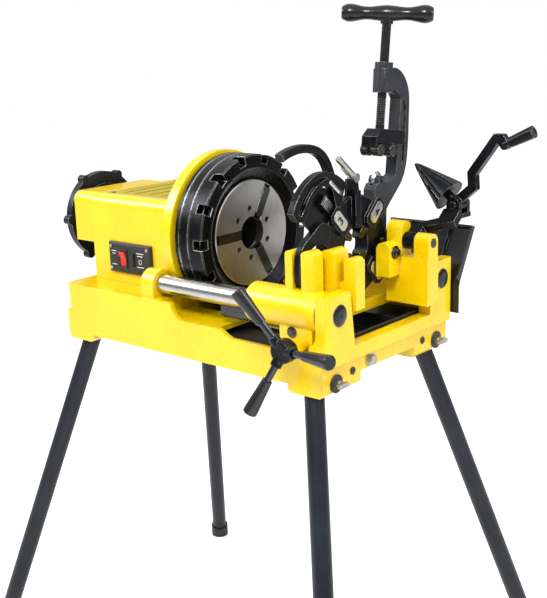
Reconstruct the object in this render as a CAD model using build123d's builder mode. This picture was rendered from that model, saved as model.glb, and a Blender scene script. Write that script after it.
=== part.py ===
from build123d import *
import os
from math import acos, atan2, cos, degrees, hypot, pi, radians, sin

# Pipe threading machine on four splayed legs, millimetres.
# X runs along the spindle from the gear case towards the tools, Y to the rear, Z up.
# The origin is on the spindle axis in the plane of the front chuck's face.
os.makedirs("parts", exist_ok=True)

# ---- driving dimensions -------------------------------------------------------------------
PIPE_BORE = 31.0          # radius of the hole through the chuck, passes 60.3 mm pipe
TUBE_BORE = 31.5          # radius inside the spindle tube
TUBE_R = 36.0
FIT = 0.05                # radial running clearance of shafts and pins
SEAT = 0.02               # radial clearance of parts that don't move on each other

FACE_R = 98.8             # front chuck body
CHUCK_BACK = -40.0
CHUCK_HUB_R = 57.0
WHEEL_R = 145.0           # hammer wheel
WHEEL_BACK = -60.0
WHEEL_FRONT = 9.0
JAW_ANGLES = (60, 180, 300)

BASE_LEFT = -327.0
BASE_RIGHT = 313.0
BASE_HALF = 185.5         # half width over the long walls
WALL = 9.0
DECK_Z = -100.0           # deck that carries the gear case
RIM_Z = -128.0            # rim of the open right half
WALL_BOTTOM = -196.0
FOOT_BOTTOM = -210.0
FOOT_TOP = -152.0
COLUMN_X = 290.0          # inner face of the end columns
COLUMN_TOP = -43.0
SILL_Z = -135.0
END_ARCH_Z = -188.0

RAIL_Y = 152.0
RAIL_Z = -77.0
RAIL_R = 18.0
RAIL_LEFT = -118.0

CASE_LEFT = -309.0
CASE_RIGHT = -64.0
CASE_HALF = 122.0
CASE_TOP = 67.0
CASE_WALL = 8.0
COLLAR_R = 150.0
NECK_LEFT = -385.0
NECK_R = 62.0
HOOD_HALF = 102.0
HOOD_TOP = 64.0
HOOD_BOTTOM = -34.0

GEAR_M = 2.0              # module of the spindle stage and the rack
MOTOR_M = 1.5             # module of the motor stage
SPINDLE_TEETH = 54
LAY_SMALL_TEETH = 14
LAY_BIG_TEETH = 38
MOTOR_TEETH = 12
MOTOR_Y = -10.0
MOTOR_Z = -88.0
MOTOR_R = 46.0
PLATE_LEFT = -170.0
PLATE_RIGHT = -162.0

WHEEL_SHAFT_X = 255.0     # pinion shaft of the carriage
WHEEL_SHAFT_Z = -127.0
PINION_TEETH = 14
HUB_Y = -222.0
ARM_LENGTH = 118.0
ARM_LEAN = 32.0
ARM_START = 5.0

HINGE_Y = 135.0           # common hinge pin of cutter and die head
HINGE_Z = -28.0
HINGE_R = 8.0
CUTTER_X = 184.0
CUTTER_HALF = 12.0
HEAD_LEFT = 216.5
HEAD_RIGHT = 236.0
HEAD_R = 88.0
REAMER_Y = 92.0           # hinge pin of the reamer arm
REAMER_Z = -1.0
HUB_X = 336.0             # swivel hub at the end of the raised reamer arm
HUB_RAISED_Y = 163.4
HUB_RAISED_Z = 57.1
CONE_TILT = 36.3          # upward tilt of the parked reamer cone, degrees

FLOOR_Z = -900.0
LEG_R = 16.8
LEG_SPLAY_X = 0.251       # run over rise
LEG_SPLAY_Y = 0.276
LEG_Z = -224.0            # height at which the leg axes are placed
LEG_XS = (-293.0, 268.0)
LEG_Y = 163.0
LEG_TOP_Z = -166.0


def x_plane(x, y=0.0, z=0.0):
    """Plane across the spindle axis: local x is Y, local y is Z, normal is +X."""
    return Plane(origin=(x, y, z), x_dir=(0, 1, 0), z_dir=(1, 0, 0))


def y_plane(y, x=0.0, z=0.0):
    """Upright plane along the spindle: local x is X, local y is Z, normal is -Y."""
    return Plane(origin=(x, y, z), x_dir=(1, 0, 0), z_dir=(0, -1, 0))


def across(x, angle):
    """Plane across the spindle whose local x points out along a radius."""
    return Plane(origin=(x, 0, 0), x_dir=(0, cos(radians(angle)), sin(radians(angle))), z_dir=(1, 0, 0))


def polar(r, angle):
    return (r * cos(radians(angle)), r * sin(radians(angle)))


def gear_sketch(teeth, module, first):
    """Spur gear outline in the current sketch; first is the angle of one tooth's middle."""
    pitch_r = teeth * module / 2
    root_r = pitch_r - 1.2 * module
    tip_r = pitch_r + 0.85 * module
    base_width = 0.72 * pi * module * (1 - 0.9 / teeth)
    Circle(root_r)
    with PolarLocations((root_r + tip_r) / 2 - 0.15, teeth, start_angle=first):
        Trapezoid(base_width, tip_r - root_r + 0.3, 69, rotation=-90)


def export(builder, name):
    builder.part.label = name
    export_step(builder.part, f"parts/{name}.step")


# ---- base casting -------------------------------------------------------------------------
FOOT_X = ((-327.0, -257.0), (230.0, 302.0))
FOOT_INNER_Y = (124.0, 82.0)
PLUG_Y = -56.0
PLUG_Z = -175.0
LIP_BOTTOM = -159.0        # the end wall is stepped back below this height
WEB_BOTTOM = -188.0
SCOOP_LEFT, SCOOP_RIGHT, SCOOP_Z = 96.0, 272.0, -141.5
SHELF_RIGHT = 74.0         # right end of the shelf under the hammer wheel
SHELF_THICK = 9.0
RAIL_BOSS = (-118.0, -86.0)

leg_axes = [
    Axis((x, side * LEG_Y, LEG_Z), (end * LEG_SPLAY_X, side * LEG_SPLAY_Y, -1))
    for end, x in zip((-1, 1), LEG_XS)
    for side in (-1, 1)
]


def leg_plane(axis, z):
    """Plane across a leg where its axis passes height z, normal pointing down the leg."""
    run = (axis.position.Z - z) / -axis.direction.Z
    return Plane(origin=axis.position + axis.direction * run, x_dir=(0, 1, 0), z_dir=axis.direction)


with BuildPart() as base_casting:
    # both long walls at once: the outline goes right across and the inside is cleared after it
    with BuildSketch(y_plane(-BASE_HALF)):
        with BuildLine():
            Polyline(
                (BASE_LEFT, DECK_Z), (BASE_LEFT, WALL_BOTTOM), (BASE_RIGHT, WALL_BOTTOM),
                (BASE_RIGHT, COLUMN_TOP), (COLUMN_X, COLUMN_TOP), (COLUMN_X, RIM_Z + 22),
            )
            RadiusArc((COLUMN_X, RIM_Z + 22), (COLUMN_X - 22, RIM_Z), 22)
            Line((COLUMN_X - 22, RIM_Z), (-12, RIM_Z))
            RadiusArc((-12, RIM_Z), (-36, DECK_Z), 30)
            Line((-36, DECK_Z), (BASE_LEFT, DECK_Z))
        make_face()
    extrude(amount=-2 * BASE_HALF)
    # rounded upright corners
    fillet(base_casting.edges().filter_by(Axis.Z).group_by(Axis.X)[0], 14)
    fillet(base_casting.edges().filter_by(Axis.Z).group_by(Axis.X)[-1], 6)
    # left chamber under the deck and its hatch for the motor and gears
    with Locations((0, 0, DECK_Z - 8)):
        with Locations(((BASE_LEFT + WALL - 80) / 2, 0, 0)):
            Box(-80 - BASE_LEFT - WALL, 2 * (BASE_HALF - WALL), 200,
                align=(Align.CENTER, Align.CENTER, Align.MAX), mode=Mode.SUBTRACT)
    with Locations((-197, 0, DECK_Z)):
        Box(206, 200, 40, mode=Mode.SUBTRACT)
    # right chamber, open at the top
    with Locations(((COLUMN_X - 68) / 2, 0, WALL_BOTTOM - 5)):
        Box(COLUMN_X + 68, 2 * (BASE_HALF - WALL), 200,
            align=(Align.CENTER, Align.CENTER, Align.MIN), mode=Mode.SUBTRACT)
    # shelf at the left of the tray, open under the hammer wheel
    with Locations((-69, 0, RIM_Z)):
        Box(SHELF_RIGHT + 69, 2 * (BASE_HALF - WALL / 2), SHELF_THICK, align=(Align.MIN, Align.CENTER, Align.MAX))
    with Locations((-69, 0, RIM_Z)):
        Box(86, 196, 3 * SHELF_THICK, align=(Align.MIN, Align.CENTER, Align.CENTER), mode=Mode.SUBTRACT)
    # end window between the columns and the arch below it
    with BuildSketch(x_plane(COLUMN_X - 1)):
        with BuildLine():
            Polyline((-112, SILL_Z), (112, SILL_Z), (124, COLUMN_TOP + 5), (-124, COLUMN_TOP + 5), close=True)
        make_face()
    extrude(amount=BASE_RIGHT - COLUMN_X + 2, mode=Mode.SUBTRACT)
    with BuildSketch(x_plane(COLUMN_X - 1)):
        with BuildLine():
            Polyline((-116, WALL_BOTTOM - 1), (116, WALL_BOTTOM - 1), (100, END_ARCH_Z), (-100, END_ARCH_Z), close=True)
        make_face()
    extrude(amount=BASE_RIGHT - COLUMN_X + 2, mode=Mode.SUBTRACT)
    # scoop in the front wall that the pinion shaft travels along
    with BuildSketch(y_plane(-BASE_HALF - 1)):
        with BuildLine():
            Polyline((SCOOP_LEFT - 16, RIM_Z + 1), (SCOOP_LEFT, SCOOP_Z + 5), (SCOOP_LEFT + 12, SCOOP_Z))
            Line((SCOOP_LEFT + 12, SCOOP_Z), (SCOOP_RIGHT - 12, SCOOP_Z))
            RadiusArc((SCOOP_RIGHT - 12, SCOOP_Z), (SCOOP_RIGHT + 6, RIM_Z + 1), -20)
            Line((SCOOP_RIGHT + 6, RIM_Z + 1), (SCOOP_LEFT - 16, RIM_Z + 1))
        make_face()
    extrude(amount=-WALL - 4, mode=Mode.SUBTRACT)
    # foot blocks
    for (x0, x1), inner_y in zip(FOOT_X, FOOT_INNER_Y):
        for side in (-1, 1):
            with Locations(((x0 + x1) / 2, side * (BASE_HALF + inner_y) / 2, FOOT_BOTTOM)):
                Box(x1 - x0, BASE_HALF - inner_y, FOOT_TOP - FOOT_BOTTOM,
                    align=(Align.CENTER, Align.CENTER, Align.MIN))
    # room for the basin of the chip tray
    with Locations((FOOT_X[1][0] - 2, 0, -182)):
        Box(51, 214, 40, align=(Align.MIN, Align.CENTER, Align.MIN), mode=Mode.SUBTRACT)
    # right end wall stepped back over the feet, with a shallower web between them
    with Locations((FOOT_X[1][1], 0, LIP_BOTTOM)):
        Box(20, 2 * BASE_HALF + 2, 100, align=(Align.MIN, Align.CENTER, Align.MAX), mode=Mode.SUBTRACT)
    with Locations((COLUMN_X - 1, 0, WEB_BOTTOM)):
        Box(20, 2 * FOOT_INNER_Y[1], 60, align=(Align.MIN, Align.CENTER, Align.MAX), mode=Mode.SUBTRACT)
    chamfer(base_casting.edges().group_by(Axis.Z)[0].filter_by(Axis.Y), 6)
    # ledges for the chip tray
    for side in (-1, 1):
        with Locations(((COLUMN_X - 68) / 2, side * (BASE_HALF - WALL - 5), -155.0)):
            Box(COLUMN_X + 68, 10, 8)
    # bosses for the left ends of the rails
    for side in (-1, 1):
        with BuildSketch(x_plane(RAIL_BOSS[0])):
            with Locations((side * RAIL_Y, RAIL_Z)):
                Circle(26)
            with Locations((side * RAIL_Y, (RAIL_Z + DECK_Z - 4) / 2)):
                Rectangle(52, RAIL_Z - DECK_Z + 4)
        extrude(amount=RAIL_BOSS[1] - RAIL_BOSS[0])
    # rail seats through bosses and end columns
    for side in (-1, 1):
        with BuildSketch(x_plane(RAIL_LEFT)):
            with Locations((side * RAIL_Y, RAIL_Z)):
                Circle(RAIL_R + SEAT)
        extrude(amount=BASE_RIGHT - RAIL_LEFT + 1, mode=Mode.SUBTRACT)
    # opening for the motor's tail in the left wall
    with BuildSketch(x_plane(BASE_LEFT - 1)):
        with Locations((MOTOR_Y, MOTOR_Z)):
            Circle(52)
    extrude(amount=WALL + 24, mode=Mode.SUBTRACT)
    # leg sockets
    for axis in leg_axes:
        with BuildSketch(leg_plane(axis, FOOT_BOTTOM - 20)):
            Circle(LEG_R + 0.2)
        extrude(amount=-100, mode=Mode.SUBTRACT)
    # tapped holes: leg clamps, drain plug, set screws
    for side in (-1, 1):
        with BuildSketch(x_plane(FOOT_X[1][1] + 1)):
            with Locations((side * 150, -192)):
                Circle(6 + SEAT)
        extrude(amount=-14, mode=Mode.SUBTRACT)
        with BuildSketch(x_plane(FOOT_X[0][0] - 1)):
            with Locations((side * 150, -192)):
                Circle(6 + SEAT)
        extrude(amount=14, mode=Mode.SUBTRACT)
        with BuildSketch(x_plane(FOOT_X[1][1] + 1)):
            with Locations((side * 105, -182)):
                Circle(2.5 + SEAT)
        extrude(amount=-10, mode=Mode.SUBTRACT)
    with BuildSketch(x_plane(FOOT_X[1][1] + 1)):
        with Locations((PLUG_Y, PLUG_Z)):
            Circle(6 + SEAT)
    extrude(amount=-14, mode=Mode.SUBTRACT)
export(base_casting, "base_casting")

# ---- trays --------------------------------------------------------------------------------
FLANGE_Z = -150.0
BASIN_HALF = 105.0
BASIN_Z = -178.0
SHEET = 2.5

with BuildPart() as chip_tray:
    with Locations(((COLUMN_X - 68) / 2 - 1, 0, FLANGE_Z)):
        Box(COLUMN_X + 64, 2 * (BASE_HALF - WALL - 1), SHEET, align=(Align.CENTER, Align.CENTER, Align.MIN))
    with Locations(((COLUMN_X - 68) / 2 - 4, 0, BASIN_Z)):
        Box(COLUMN_X + 50, 2 * BASIN_HALF, FLANGE_Z - BASIN_Z + SHEET,
            align=(Align.CENTER, Align.CENTER, Align.MIN))
        Box(COLUMN_X + 50 - 2 * SHEET, 2 * (BASIN_HALF - SHEET), 100,
            align=(Align.CENTER, Align.CENTER, Align.MIN), mode=Mode.SUBTRACT)
    # floor of the basin
    with Locations(((COLUMN_X - 68) / 2 - 4, 0, BASIN_Z)):
        Box(COLUMN_X + 50, 2 * BASIN_HALF, SHEET, align=(Align.CENTER, Align.CENTER, Align.MIN))
    # upturned lip seen through the end window
    with Locations((COLUMN_X - 5, 0, FLANGE_Z)):
        Box(3, 214, 20, align=(Align.CENTER, Align.CENTER, Align.MIN))
export(chip_tray, "chip_tray")

SPLASH_X0, SPLASH_X1 = 150.0, 326.0
SPLASH_FOOT = (191.0, -88.0)
SPLASH_TOP = (240.0, 3.0)

with BuildPart() as rear_splash_tray:
    lean = atan2(SPLASH_TOP[1] - SPLASH_FOOT[1], SPLASH_TOP[0] - SPLASH_FOOT[0])
    with BuildSketch(x_plane(SPLASH_X0)):
        with BuildLine():
            spine = Polyline((BASE_HALF + 2.2, -146), (BASE_HALF + 2.2, -98), SPLASH_FOOT, SPLASH_TOP)
            offset(amount=1.5, side=Side.BOTH)
        make_face()
    extrude(amount=SPLASH_X1 - SPLASH_X0)
    # raised rim along both ends and the top, and three ribs on the working face
    panel = Plane(
        origin=((SPLASH_X0 + SPLASH_X1) / 2, SPLASH_FOOT[0], SPLASH_FOOT[1]),
        x_dir=(1, 0, 0),
        z_dir=(0, -sin(lean), cos(lean)),
    )
    run = hypot(SPLASH_TOP[0] - SPLASH_FOOT[0], SPLASH_TOP[1] - SPLASH_FOOT[1])
    with BuildSketch(panel):
        with Locations((0, run / 2)):
            Rectangle(SPLASH_X1 - SPLASH_X0, run)
        with Locations((0, run / 2 - 4)):
            Rectangle(SPLASH_X1 - SPLASH_X0 - 8, run, mode=Mode.SUBTRACT)
        for step in (-1, 0, 1):
            with Locations((step * 42, run / 2)):
                Rectangle(3, run)
    extrude(amount=9)
export(rear_splash_tray, "rear_splash_tray")

# ---- gear case ----------------------------------------------------------------------------
FRONT_WALL = -98.0        # inner face of the wall behind the chuck
FRONT_BORE = 60.0
REAR_BORE = 54.0
COVER_X = (-292.0, -104.0)
COVER_HALF = 96.0
COVER_DEPTH = 4.0

with BuildPart() as gear_case:
    with BuildSketch(x_plane(CASE_LEFT)) as case_outline:
        with Locations((0, (CASE_TOP + DECK_Z) / 2)):
            Rectangle(2 * CASE_HALF, CASE_TOP - DECK_Z)
        fillet(case_outline.vertices().group_by(Axis.Y)[-1], 20)
    extrude(amount=CASE_RIGHT - CASE_LEFT)
    # round collar behind the hammer wheel, flat where it stands on the deck
    for x, radius in ((-96.0, 138.0), (-84.0, COLLAR_R)):
        with BuildSketch(x_plane(x)):
            Circle(radius)
            with Locations((0, DECK_Z - 60)):
                Rectangle(400, 120, mode=Mode.SUBTRACT)
        extrude(amount=CASE_RIGHT - x)
    # hood over the rear end of the spindle, hollow round a bearing sleeve
    for inset, start in ((0, NECK_LEFT), (CASE_WALL, NECK_LEFT + CASE_WALL)):
        with BuildSketch(x_plane(start)) as hood_outline:
            with Locations((0, (HOOD_TOP + HOOD_BOTTOM) / 2)):
                Rectangle(2 * (HOOD_HALF - inset), HOOD_TOP - HOOD_BOTTOM - 2 * inset)
            fillet(hood_outline.vertices().group_by(Axis.Y)[-1], 18 - inset)
        extrude(amount=CASE_LEFT - start + 2, mode=Mode.SUBTRACT if inset else Mode.ADD)
    with BuildSketch(x_plane(NECK_LEFT)):
        Circle(NECK_R)
        with Locations((0, HOOD_BOTTOM - 50)):
            Rectangle(200, 100, mode=Mode.SUBTRACT)
    extrude(amount=CASE_LEFT - NECK_LEFT + 4)
    with BuildSketch(x_plane(NECK_LEFT)):
        Circle(REAR_BORE + SEAT)
    extrude(amount=CASE_LEFT - NECK_LEFT, mode=Mode.SUBTRACT)
    # main cavity, open at the bottom
    with Locations((CASE_LEFT + CASE_WALL, 0, DECK_Z - 1)):
        Box(FRONT_WALL - CASE_LEFT - CASE_WALL, 2 * (CASE_HALF - CASE_WALL), CASE_TOP - DECK_Z - CASE_WALL + 1,
            align=(Align.MIN, Align.CENTER, Align.MIN), mode=Mode.SUBTRACT)
    # recess for the top cover
    with Locations((sum(COVER_X) / 2, 0, CASE_TOP)):
        Box(COVER_X[1] - COVER_X[0], 2 * COVER_HALF, 2 * COVER_DEPTH, mode=Mode.SUBTRACT)
        with GridLocations(168, 172, 2, 2):
            Cylinder(2.5 + SEAT, 2 * CASE_WALL, mode=Mode.SUBTRACT)
    # bearing seat and shaft openings
    with BuildSketch(x_plane(FRONT_WALL - 1)):
        Circle(FRONT_BORE + SEAT)
    extrude(amount=CASE_RIGHT - FRONT_WALL + 2, mode=Mode.SUBTRACT)
    with BuildSketch(x_plane(CASE_LEFT - 1)):
        Circle(TUBE_R + 4)
        with Locations((MOTOR_Y, MOTOR_Z)):
            Circle(42)
    extrude(amount=CASE_WALL + 2, mode=Mode.SUBTRACT)
    # window for the switch
    with Locations((-200, -CASE_HALF, -50)):
        Box(62, 3 * CASE_WALL, 40, mode=Mode.SUBTRACT)
export(gear_case, "gear_case")

with BuildPart() as top_cover:
    with Locations((sum(COVER_X) / 2, 0, CASE_TOP - COVER_DEPTH)):
        Box(COVER_X[1] - COVER_X[0] - 2, 2 * COVER_HALF - 2, 2.5, align=(Align.CENTER, Align.CENTER, Align.MIN))
    fillet(top_cover.edges().filter_by(Axis.Z), 8)
    with Locations((sum(COVER_X) / 2, 0, CASE_TOP - COVER_DEPTH + 2)):
        with GridLocations(34, 0, 5, 1):
            Box(8, 150, 2.5, align=(Align.CENTER, Align.CENTER, Align.MIN))
    with Locations((sum(COVER_X) / 2, 0, CASE_TOP - COVER_DEPTH + 2.5)):
        with GridLocations(168, 172, 2, 2):
            Hole(2.6, 10)
export(top_cover, "top_cover")

with BuildPart() as cover_screws:
    with Locations((sum(COVER_X) / 2, 0, CASE_TOP - COVER_DEPTH + 2.5)):
        with GridLocations(168, 172, 2, 2):
            Cylinder(4.5, 3, align=(Align.CENTER, Align.CENTER, Align.MIN))
            Cylinder(2.5, 3, align=(Align.CENTER, Align.CENTER, Align.MAX))
export(cover_screws, "cover_screws")

SWITCH_X = (-258.0, -142.0)
SWITCH_Z = (-79.0, -20.0)
ROCKER_X = -216.0
ROCKER_Z = -50.0
PANEL_Y = -CASE_HALF - 8

with BuildPart() as switch_box:
    with Locations((sum(SWITCH_X) / 2, -CASE_HALF, sum(SWITCH_Z) / 2)):
        Box(SWITCH_X[1] - SWITCH_X[0], 8, SWITCH_Z[1] - SWITCH_Z[0],
            align=(Align.CENTER, Align.MAX, Align.CENTER))
    chamfer(switch_box.faces().sort_by(Axis.Y)[0].edges(), 3)
    with Locations((-200, -CASE_HALF - 1, -50)):
        Box(60, 30, 38, align=(Align.CENTER, Align.MIN, Align.CENTER))
    # well of the rocker and two pilot recesses
    with Locations((ROCKER_X, PANEL_Y, ROCKER_Z)):
        Box(17, 24, 31, mode=Mode.SUBTRACT)
    with Locations((-178, PANEL_Y, -50)):
        Box(22, 6, 26, mode=Mode.SUBTRACT)
export(switch_box, "switch_box")

with BuildPart() as switch_rocker:
    with BuildSketch(x_plane(ROCKER_X - 7.5)):
        with BuildLine():
            Polyline((PANEL_Y - 1, ROCKER_Z), (PANEL_Y - 5.5, ROCKER_Z + 14), (PANEL_Y + 6, ROCKER_Z + 14),
                     (PANEL_Y + 6, ROCKER_Z - 14), (PANEL_Y - 1.2, ROCKER_Z - 14), close=True)
        make_face()
    extrude(amount=15)
    with BuildSketch(x_plane(ROCKER_X - 8)):
        with Locations((PANEL_Y + 4, ROCKER_Z)):
            Circle(1.5)
    extrude(amount=16)
export(switch_rocker, "switch_rocker")

# ---- drive --------------------------------------------------------------------------------
spindle_pitch = SPINDLE_TEETH * GEAR_M / 2
small_pitch = LAY_SMALL_TEETH * GEAR_M / 2
big_pitch = LAY_BIG_TEETH * MOTOR_M / 2
motor_pitch = MOTOR_TEETH * MOTOR_M / 2
lay_reach = spindle_pitch + small_pitch
motor_reach = hypot(MOTOR_Y, MOTOR_Z)
motor_angle = degrees(atan2(MOTOR_Z, MOTOR_Y))
mesh_reach = big_pitch + motor_pitch
lay_angle = motor_angle + degrees(
    acos((lay_reach**2 + motor_reach**2 - mesh_reach**2) / (2 * lay_reach * motor_reach))
)
LAY_Y, LAY_Z = polar(lay_reach, lay_angle)
motor_side = degrees(atan2(MOTOR_Z - LAY_Z, MOTOR_Y - LAY_Y))   # from the layshaft to the motor
STAGE_MOTOR = (-158.0, -146.0)
STAGE_SPINDLE = (-138.0, -120.0)

with BuildPart() as motor:
    with BuildSketch(x_plane(-300)):
        with Locations((MOTOR_Y, MOTOR_Z)):
            Circle(MOTOR_R)
        with Locations((MOTOR_Y, MOTOR_Z)):
            with PolarLocations(MOTOR_R, 24):
                Rectangle(3, 3.5, mode=Mode.SUBTRACT)
    extrude(amount=130 - 0.3)
    with BuildSketch(x_plane(-170.4)):
        with Locations((MOTOR_Y, MOTOR_Z)):
            Circle(6)
    extrude(amount=28)
export(motor, "motor")

with BuildPart() as motor_end_cap:
    with BuildSketch(x_plane(-352)):
        with Locations((MOTOR_Y, MOTOR_Z)):
            Circle(40)
    extrude(amount=51.8)
    chamfer(motor_end_cap.edges().group_by(Axis.X)[0], 5)
    with BuildSketch(x_plane(-353)):
        with Locations((MOTOR_Y, MOTOR_Z)):
            with PolarLocations(24, 10):
                SlotOverall(20, 4)
    extrude(amount=12, mode=Mode.SUBTRACT)
export(motor_end_cap, "motor_end_cap")

with BuildPart() as motor_pinion:
    with BuildSketch(x_plane(STAGE_MOTOR[0], MOTOR_Y, MOTOR_Z)):
        gear_sketch(MOTOR_TEETH, MOTOR_M, motor_side + 180)
        Circle(6 + SEAT, mode=Mode.SUBTRACT)
    extrude(amount=STAGE_MOTOR[1] - STAGE_MOTOR[0])
export(motor_pinion, "motor_pinion")

with BuildPart() as drive_plate:
    with Locations(((PLATE_LEFT + PLATE_RIGHT) / 2, 0, -20.2)):
        Box(PLATE_RIGHT - PLATE_LEFT, 2 * (CASE_HALF - CASE_WALL) - 0.1, 156)
    with BuildSketch(x_plane(PLATE_LEFT - 1)):
        Circle(TUBE_R + 3)
        with Locations((MOTOR_Y, MOTOR_Z)):
            Circle(8)
        with Locations((LAY_Y, LAY_Z)):
            Circle(8 + FIT)
    extrude(amount=PLATE_RIGHT - PLATE_LEFT + 2, mode=Mode.SUBTRACT)
export(drive_plate, "drive_plate")

with BuildPart() as layshaft:
    with BuildSketch(x_plane(PLATE_LEFT, LAY_Y, LAY_Z)):
        Circle(8)
    extrude(amount=FRONT_WALL - PLATE_LEFT - 1)
    with BuildSketch(x_plane(STAGE_SPINDLE[0] - 2, LAY_Y, LAY_Z)):
        gear_sketch(LAY_SMALL_TEETH, GEAR_M, lay_angle + 180)
    extrude(amount=STAGE_SPINDLE[1] - STAGE_SPINDLE[0] + 4)
export(layshaft, "layshaft")

with BuildPart() as lay_big_gear:
    with BuildSketch(x_plane(STAGE_MOTOR[0], LAY_Y, LAY_Z)):
        gear_sketch(LAY_BIG_TEETH, MOTOR_M, motor_side + 180 / LAY_BIG_TEETH)
        Circle(8 + SEAT, mode=Mode.SUBTRACT)
    extrude(amount=STAGE_MOTOR[1] - STAGE_MOTOR[0])
export(lay_big_gear, "lay_big_gear")

with BuildPart() as spindle_gear:
    with BuildSketch(x_plane(STAGE_SPINDLE[0])):
        gear_sketch(SPINDLE_TEETH, GEAR_M, lay_angle + 180 / SPINDLE_TEETH)
        Circle(TUBE_R + SEAT, mode=Mode.SUBTRACT)
    extrude(amount=STAGE_SPINDLE[1] - STAGE_SPINDLE[0])
export(spindle_gear, "spindle_gear")

# ---- spindle and chucks -------------------------------------------------------------------
TUBE_LEFT = -440.0
TUBE_RIGHT = -16.0

with BuildPart() as spindle_tube:
    with BuildSketch(x_plane(TUBE_LEFT)):
        Circle(TUBE_R)
        Circle(TUBE_BORE, mode=Mode.SUBTRACT)
    extrude(amount=TUBE_RIGHT - TUBE_LEFT)
export(spindle_tube, "spindle_tube")

for name, x0, x1, outer in (
    ("front_bearing", FRONT_WALL, -72.0, FRONT_BORE),
    ("rear_bearing", NECK_LEFT + 2, NECK_LEFT + 20, REAR_BORE),
):
    with BuildPart() as bearing:
        with BuildSketch(x_plane(x0)):
            Circle(outer)
            Circle(TUBE_R + FIT, mode=Mode.SUBTRACT)
        extrude(amount=x1 - x0)
        chamfer(bearing.edges().filter_by(GeomType.CIRCLE).sort_by(SortBy.RADIUS)[-2:], 1.5)
    export(bearing, name)

JAW_WIDTH = 18.0
JAW_DEPTH = 14.0
FACE_SCREW_R = 5.8
SCREW_SPOTS = [polar(46, mid + side * 24) for mid in (0, 120, 240) for side in (-1, 1)]

with BuildPart() as chuck_body:
    with BuildSketch(x_plane(CHUCK_BACK)):
        Circle(FACE_R)
    extrude(amount=-CHUCK_BACK)
    with BuildSketch(x_plane(WHEEL_BACK - 1)):
        Circle(CHUCK_HUB_R)
    extrude(amount=CHUCK_BACK - WHEEL_BACK + 1)
    chamfer(chuck_body.edges().filter_by(GeomType.CIRCLE).group_by(Axis.X)[-1], 1.5)
    with BuildSketch(x_plane(WHEEL_BACK - 2)):
        Circle(TUBE_R + SEAT)
    extrude(amount=TUBE_RIGHT - WHEEL_BACK + 2, mode=Mode.SUBTRACT)
    with BuildSketch(x_plane(TUBE_RIGHT - 1)):
        Circle(PIPE_BORE)
    extrude(amount=20, mode=Mode.SUBTRACT)
    for angle in JAW_ANGLES:
        with BuildSketch(across(-JAW_DEPTH, angle)):
            with Locations((61, 0)):
                Rectangle(70, JAW_WIDTH)
        extrude(amount=JAW_DEPTH + 1, mode=Mode.SUBTRACT)
    with BuildSketch(x_plane(-9)):
        with Locations(*SCREW_SPOTS):
            Circle(FACE_SCREW_R + SEAT)
    extrude(amount=10, mode=Mode.SUBTRACT)
export(chuck_body, "chuck_body")

with BuildPart() as faceplate_screws:
    with BuildSketch(x_plane(-9)):
        with Locations(*SCREW_SPOTS):
            Circle(FACE_SCREW_R)
    extrude(amount=7.5)
    with BuildSketch(x_plane(-1.5)):
        with Locations(*SCREW_SPOTS):
            RegularPolygon(3.4, 6)
    extrude(amount=-5, mode=Mode.SUBTRACT)
export(faceplate_screws, "faceplate_screws")

for number, angle in enumerate(JAW_ANGLES, 1):
    with BuildPart() as jaw:
        with BuildSketch(across(-JAW_DEPTH + 0.1, angle)):
            with BuildLine():
                Polyline((32, -3.5), (38, -JAW_WIDTH / 2 + 0.1), (90, -JAW_WIDTH / 2 + 0.1),
                         (90, JAW_WIDTH / 2 - 0.1), (38, JAW_WIDTH / 2 - 0.1), (32, 3.5), close=True)
            make_face()
        extrude(amount=JAW_DEPTH + 1.5)
        # gripping teeth across the inner end
        with BuildSketch(across(-JAW_DEPTH, angle)):
            with Locations((32, -1.8), (32, 1.8)):
                RegularPolygon(1.4, 4)
        extrude(amount=JAW_DEPTH + 3, mode=Mode.SUBTRACT)
    export(jaw, f"jaw_{number}")

NOTCHES = 14

with BuildPart() as hammer_wheel:
    with BuildSketch(Plane.XZ):
        with BuildLine():
            Polyline(
                (WHEEL_BACK, CHUCK_HUB_R + FIT), (WHEEL_BACK, WHEEL_R - 4), (WHEEL_BACK + 4, WHEEL_R),
                (WHEEL_FRONT - 2, WHEEL_R), (WHEEL_FRONT, WHEEL_R - 2), (WHEEL_FRONT, 120),
                (-5, FACE_R + 1.7), (CHUCK_BACK - 2, FACE_R + 1.7), (CHUCK_BACK - 2, CHUCK_HUB_R + FIT),
                close=True,
            )
        make_face()
        # grooves round the drum
        with Locations((-46, WHEEL_R), (-24, WHEEL_R)):
            Rectangle(4, 3, mode=Mode.SUBTRACT)
    revolve(axis=Axis.X)
    with BuildSketch(x_plane(WHEEL_FRONT - 20)):
        with PolarLocations(WHEEL_R - 5, NOTCHES):
            Rectangle(24, 17)
    extrude(amount=22, mode=Mode.SUBTRACT)
export(hammer_wheel, "hammer_wheel")

REAR_FACE = -440.0
REAR_BODY_R = 66.0

with BuildPart() as rear_chuck_body:
    with BuildSketch(x_plane(REAR_FACE - 12)):
        Circle(REAR_BODY_R)
        Circle(TUBE_BORE, mode=Mode.SUBTRACT)
    extrude(amount=44)
    with BuildSketch(x_plane(REAR_FACE)):
        Circle(TUBE_R + SEAT)
    extrude(amount=40, mode=Mode.SUBTRACT)
    for angle in JAW_ANGLES:
        with BuildSketch(across(REAR_FACE - 13, angle)):
            with Locations((46, 0)):
                Rectangle(36, 13)
        extrude(amount=11, mode=Mode.SUBTRACT)
export(rear_chuck_body, "rear_chuck_body")

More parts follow.
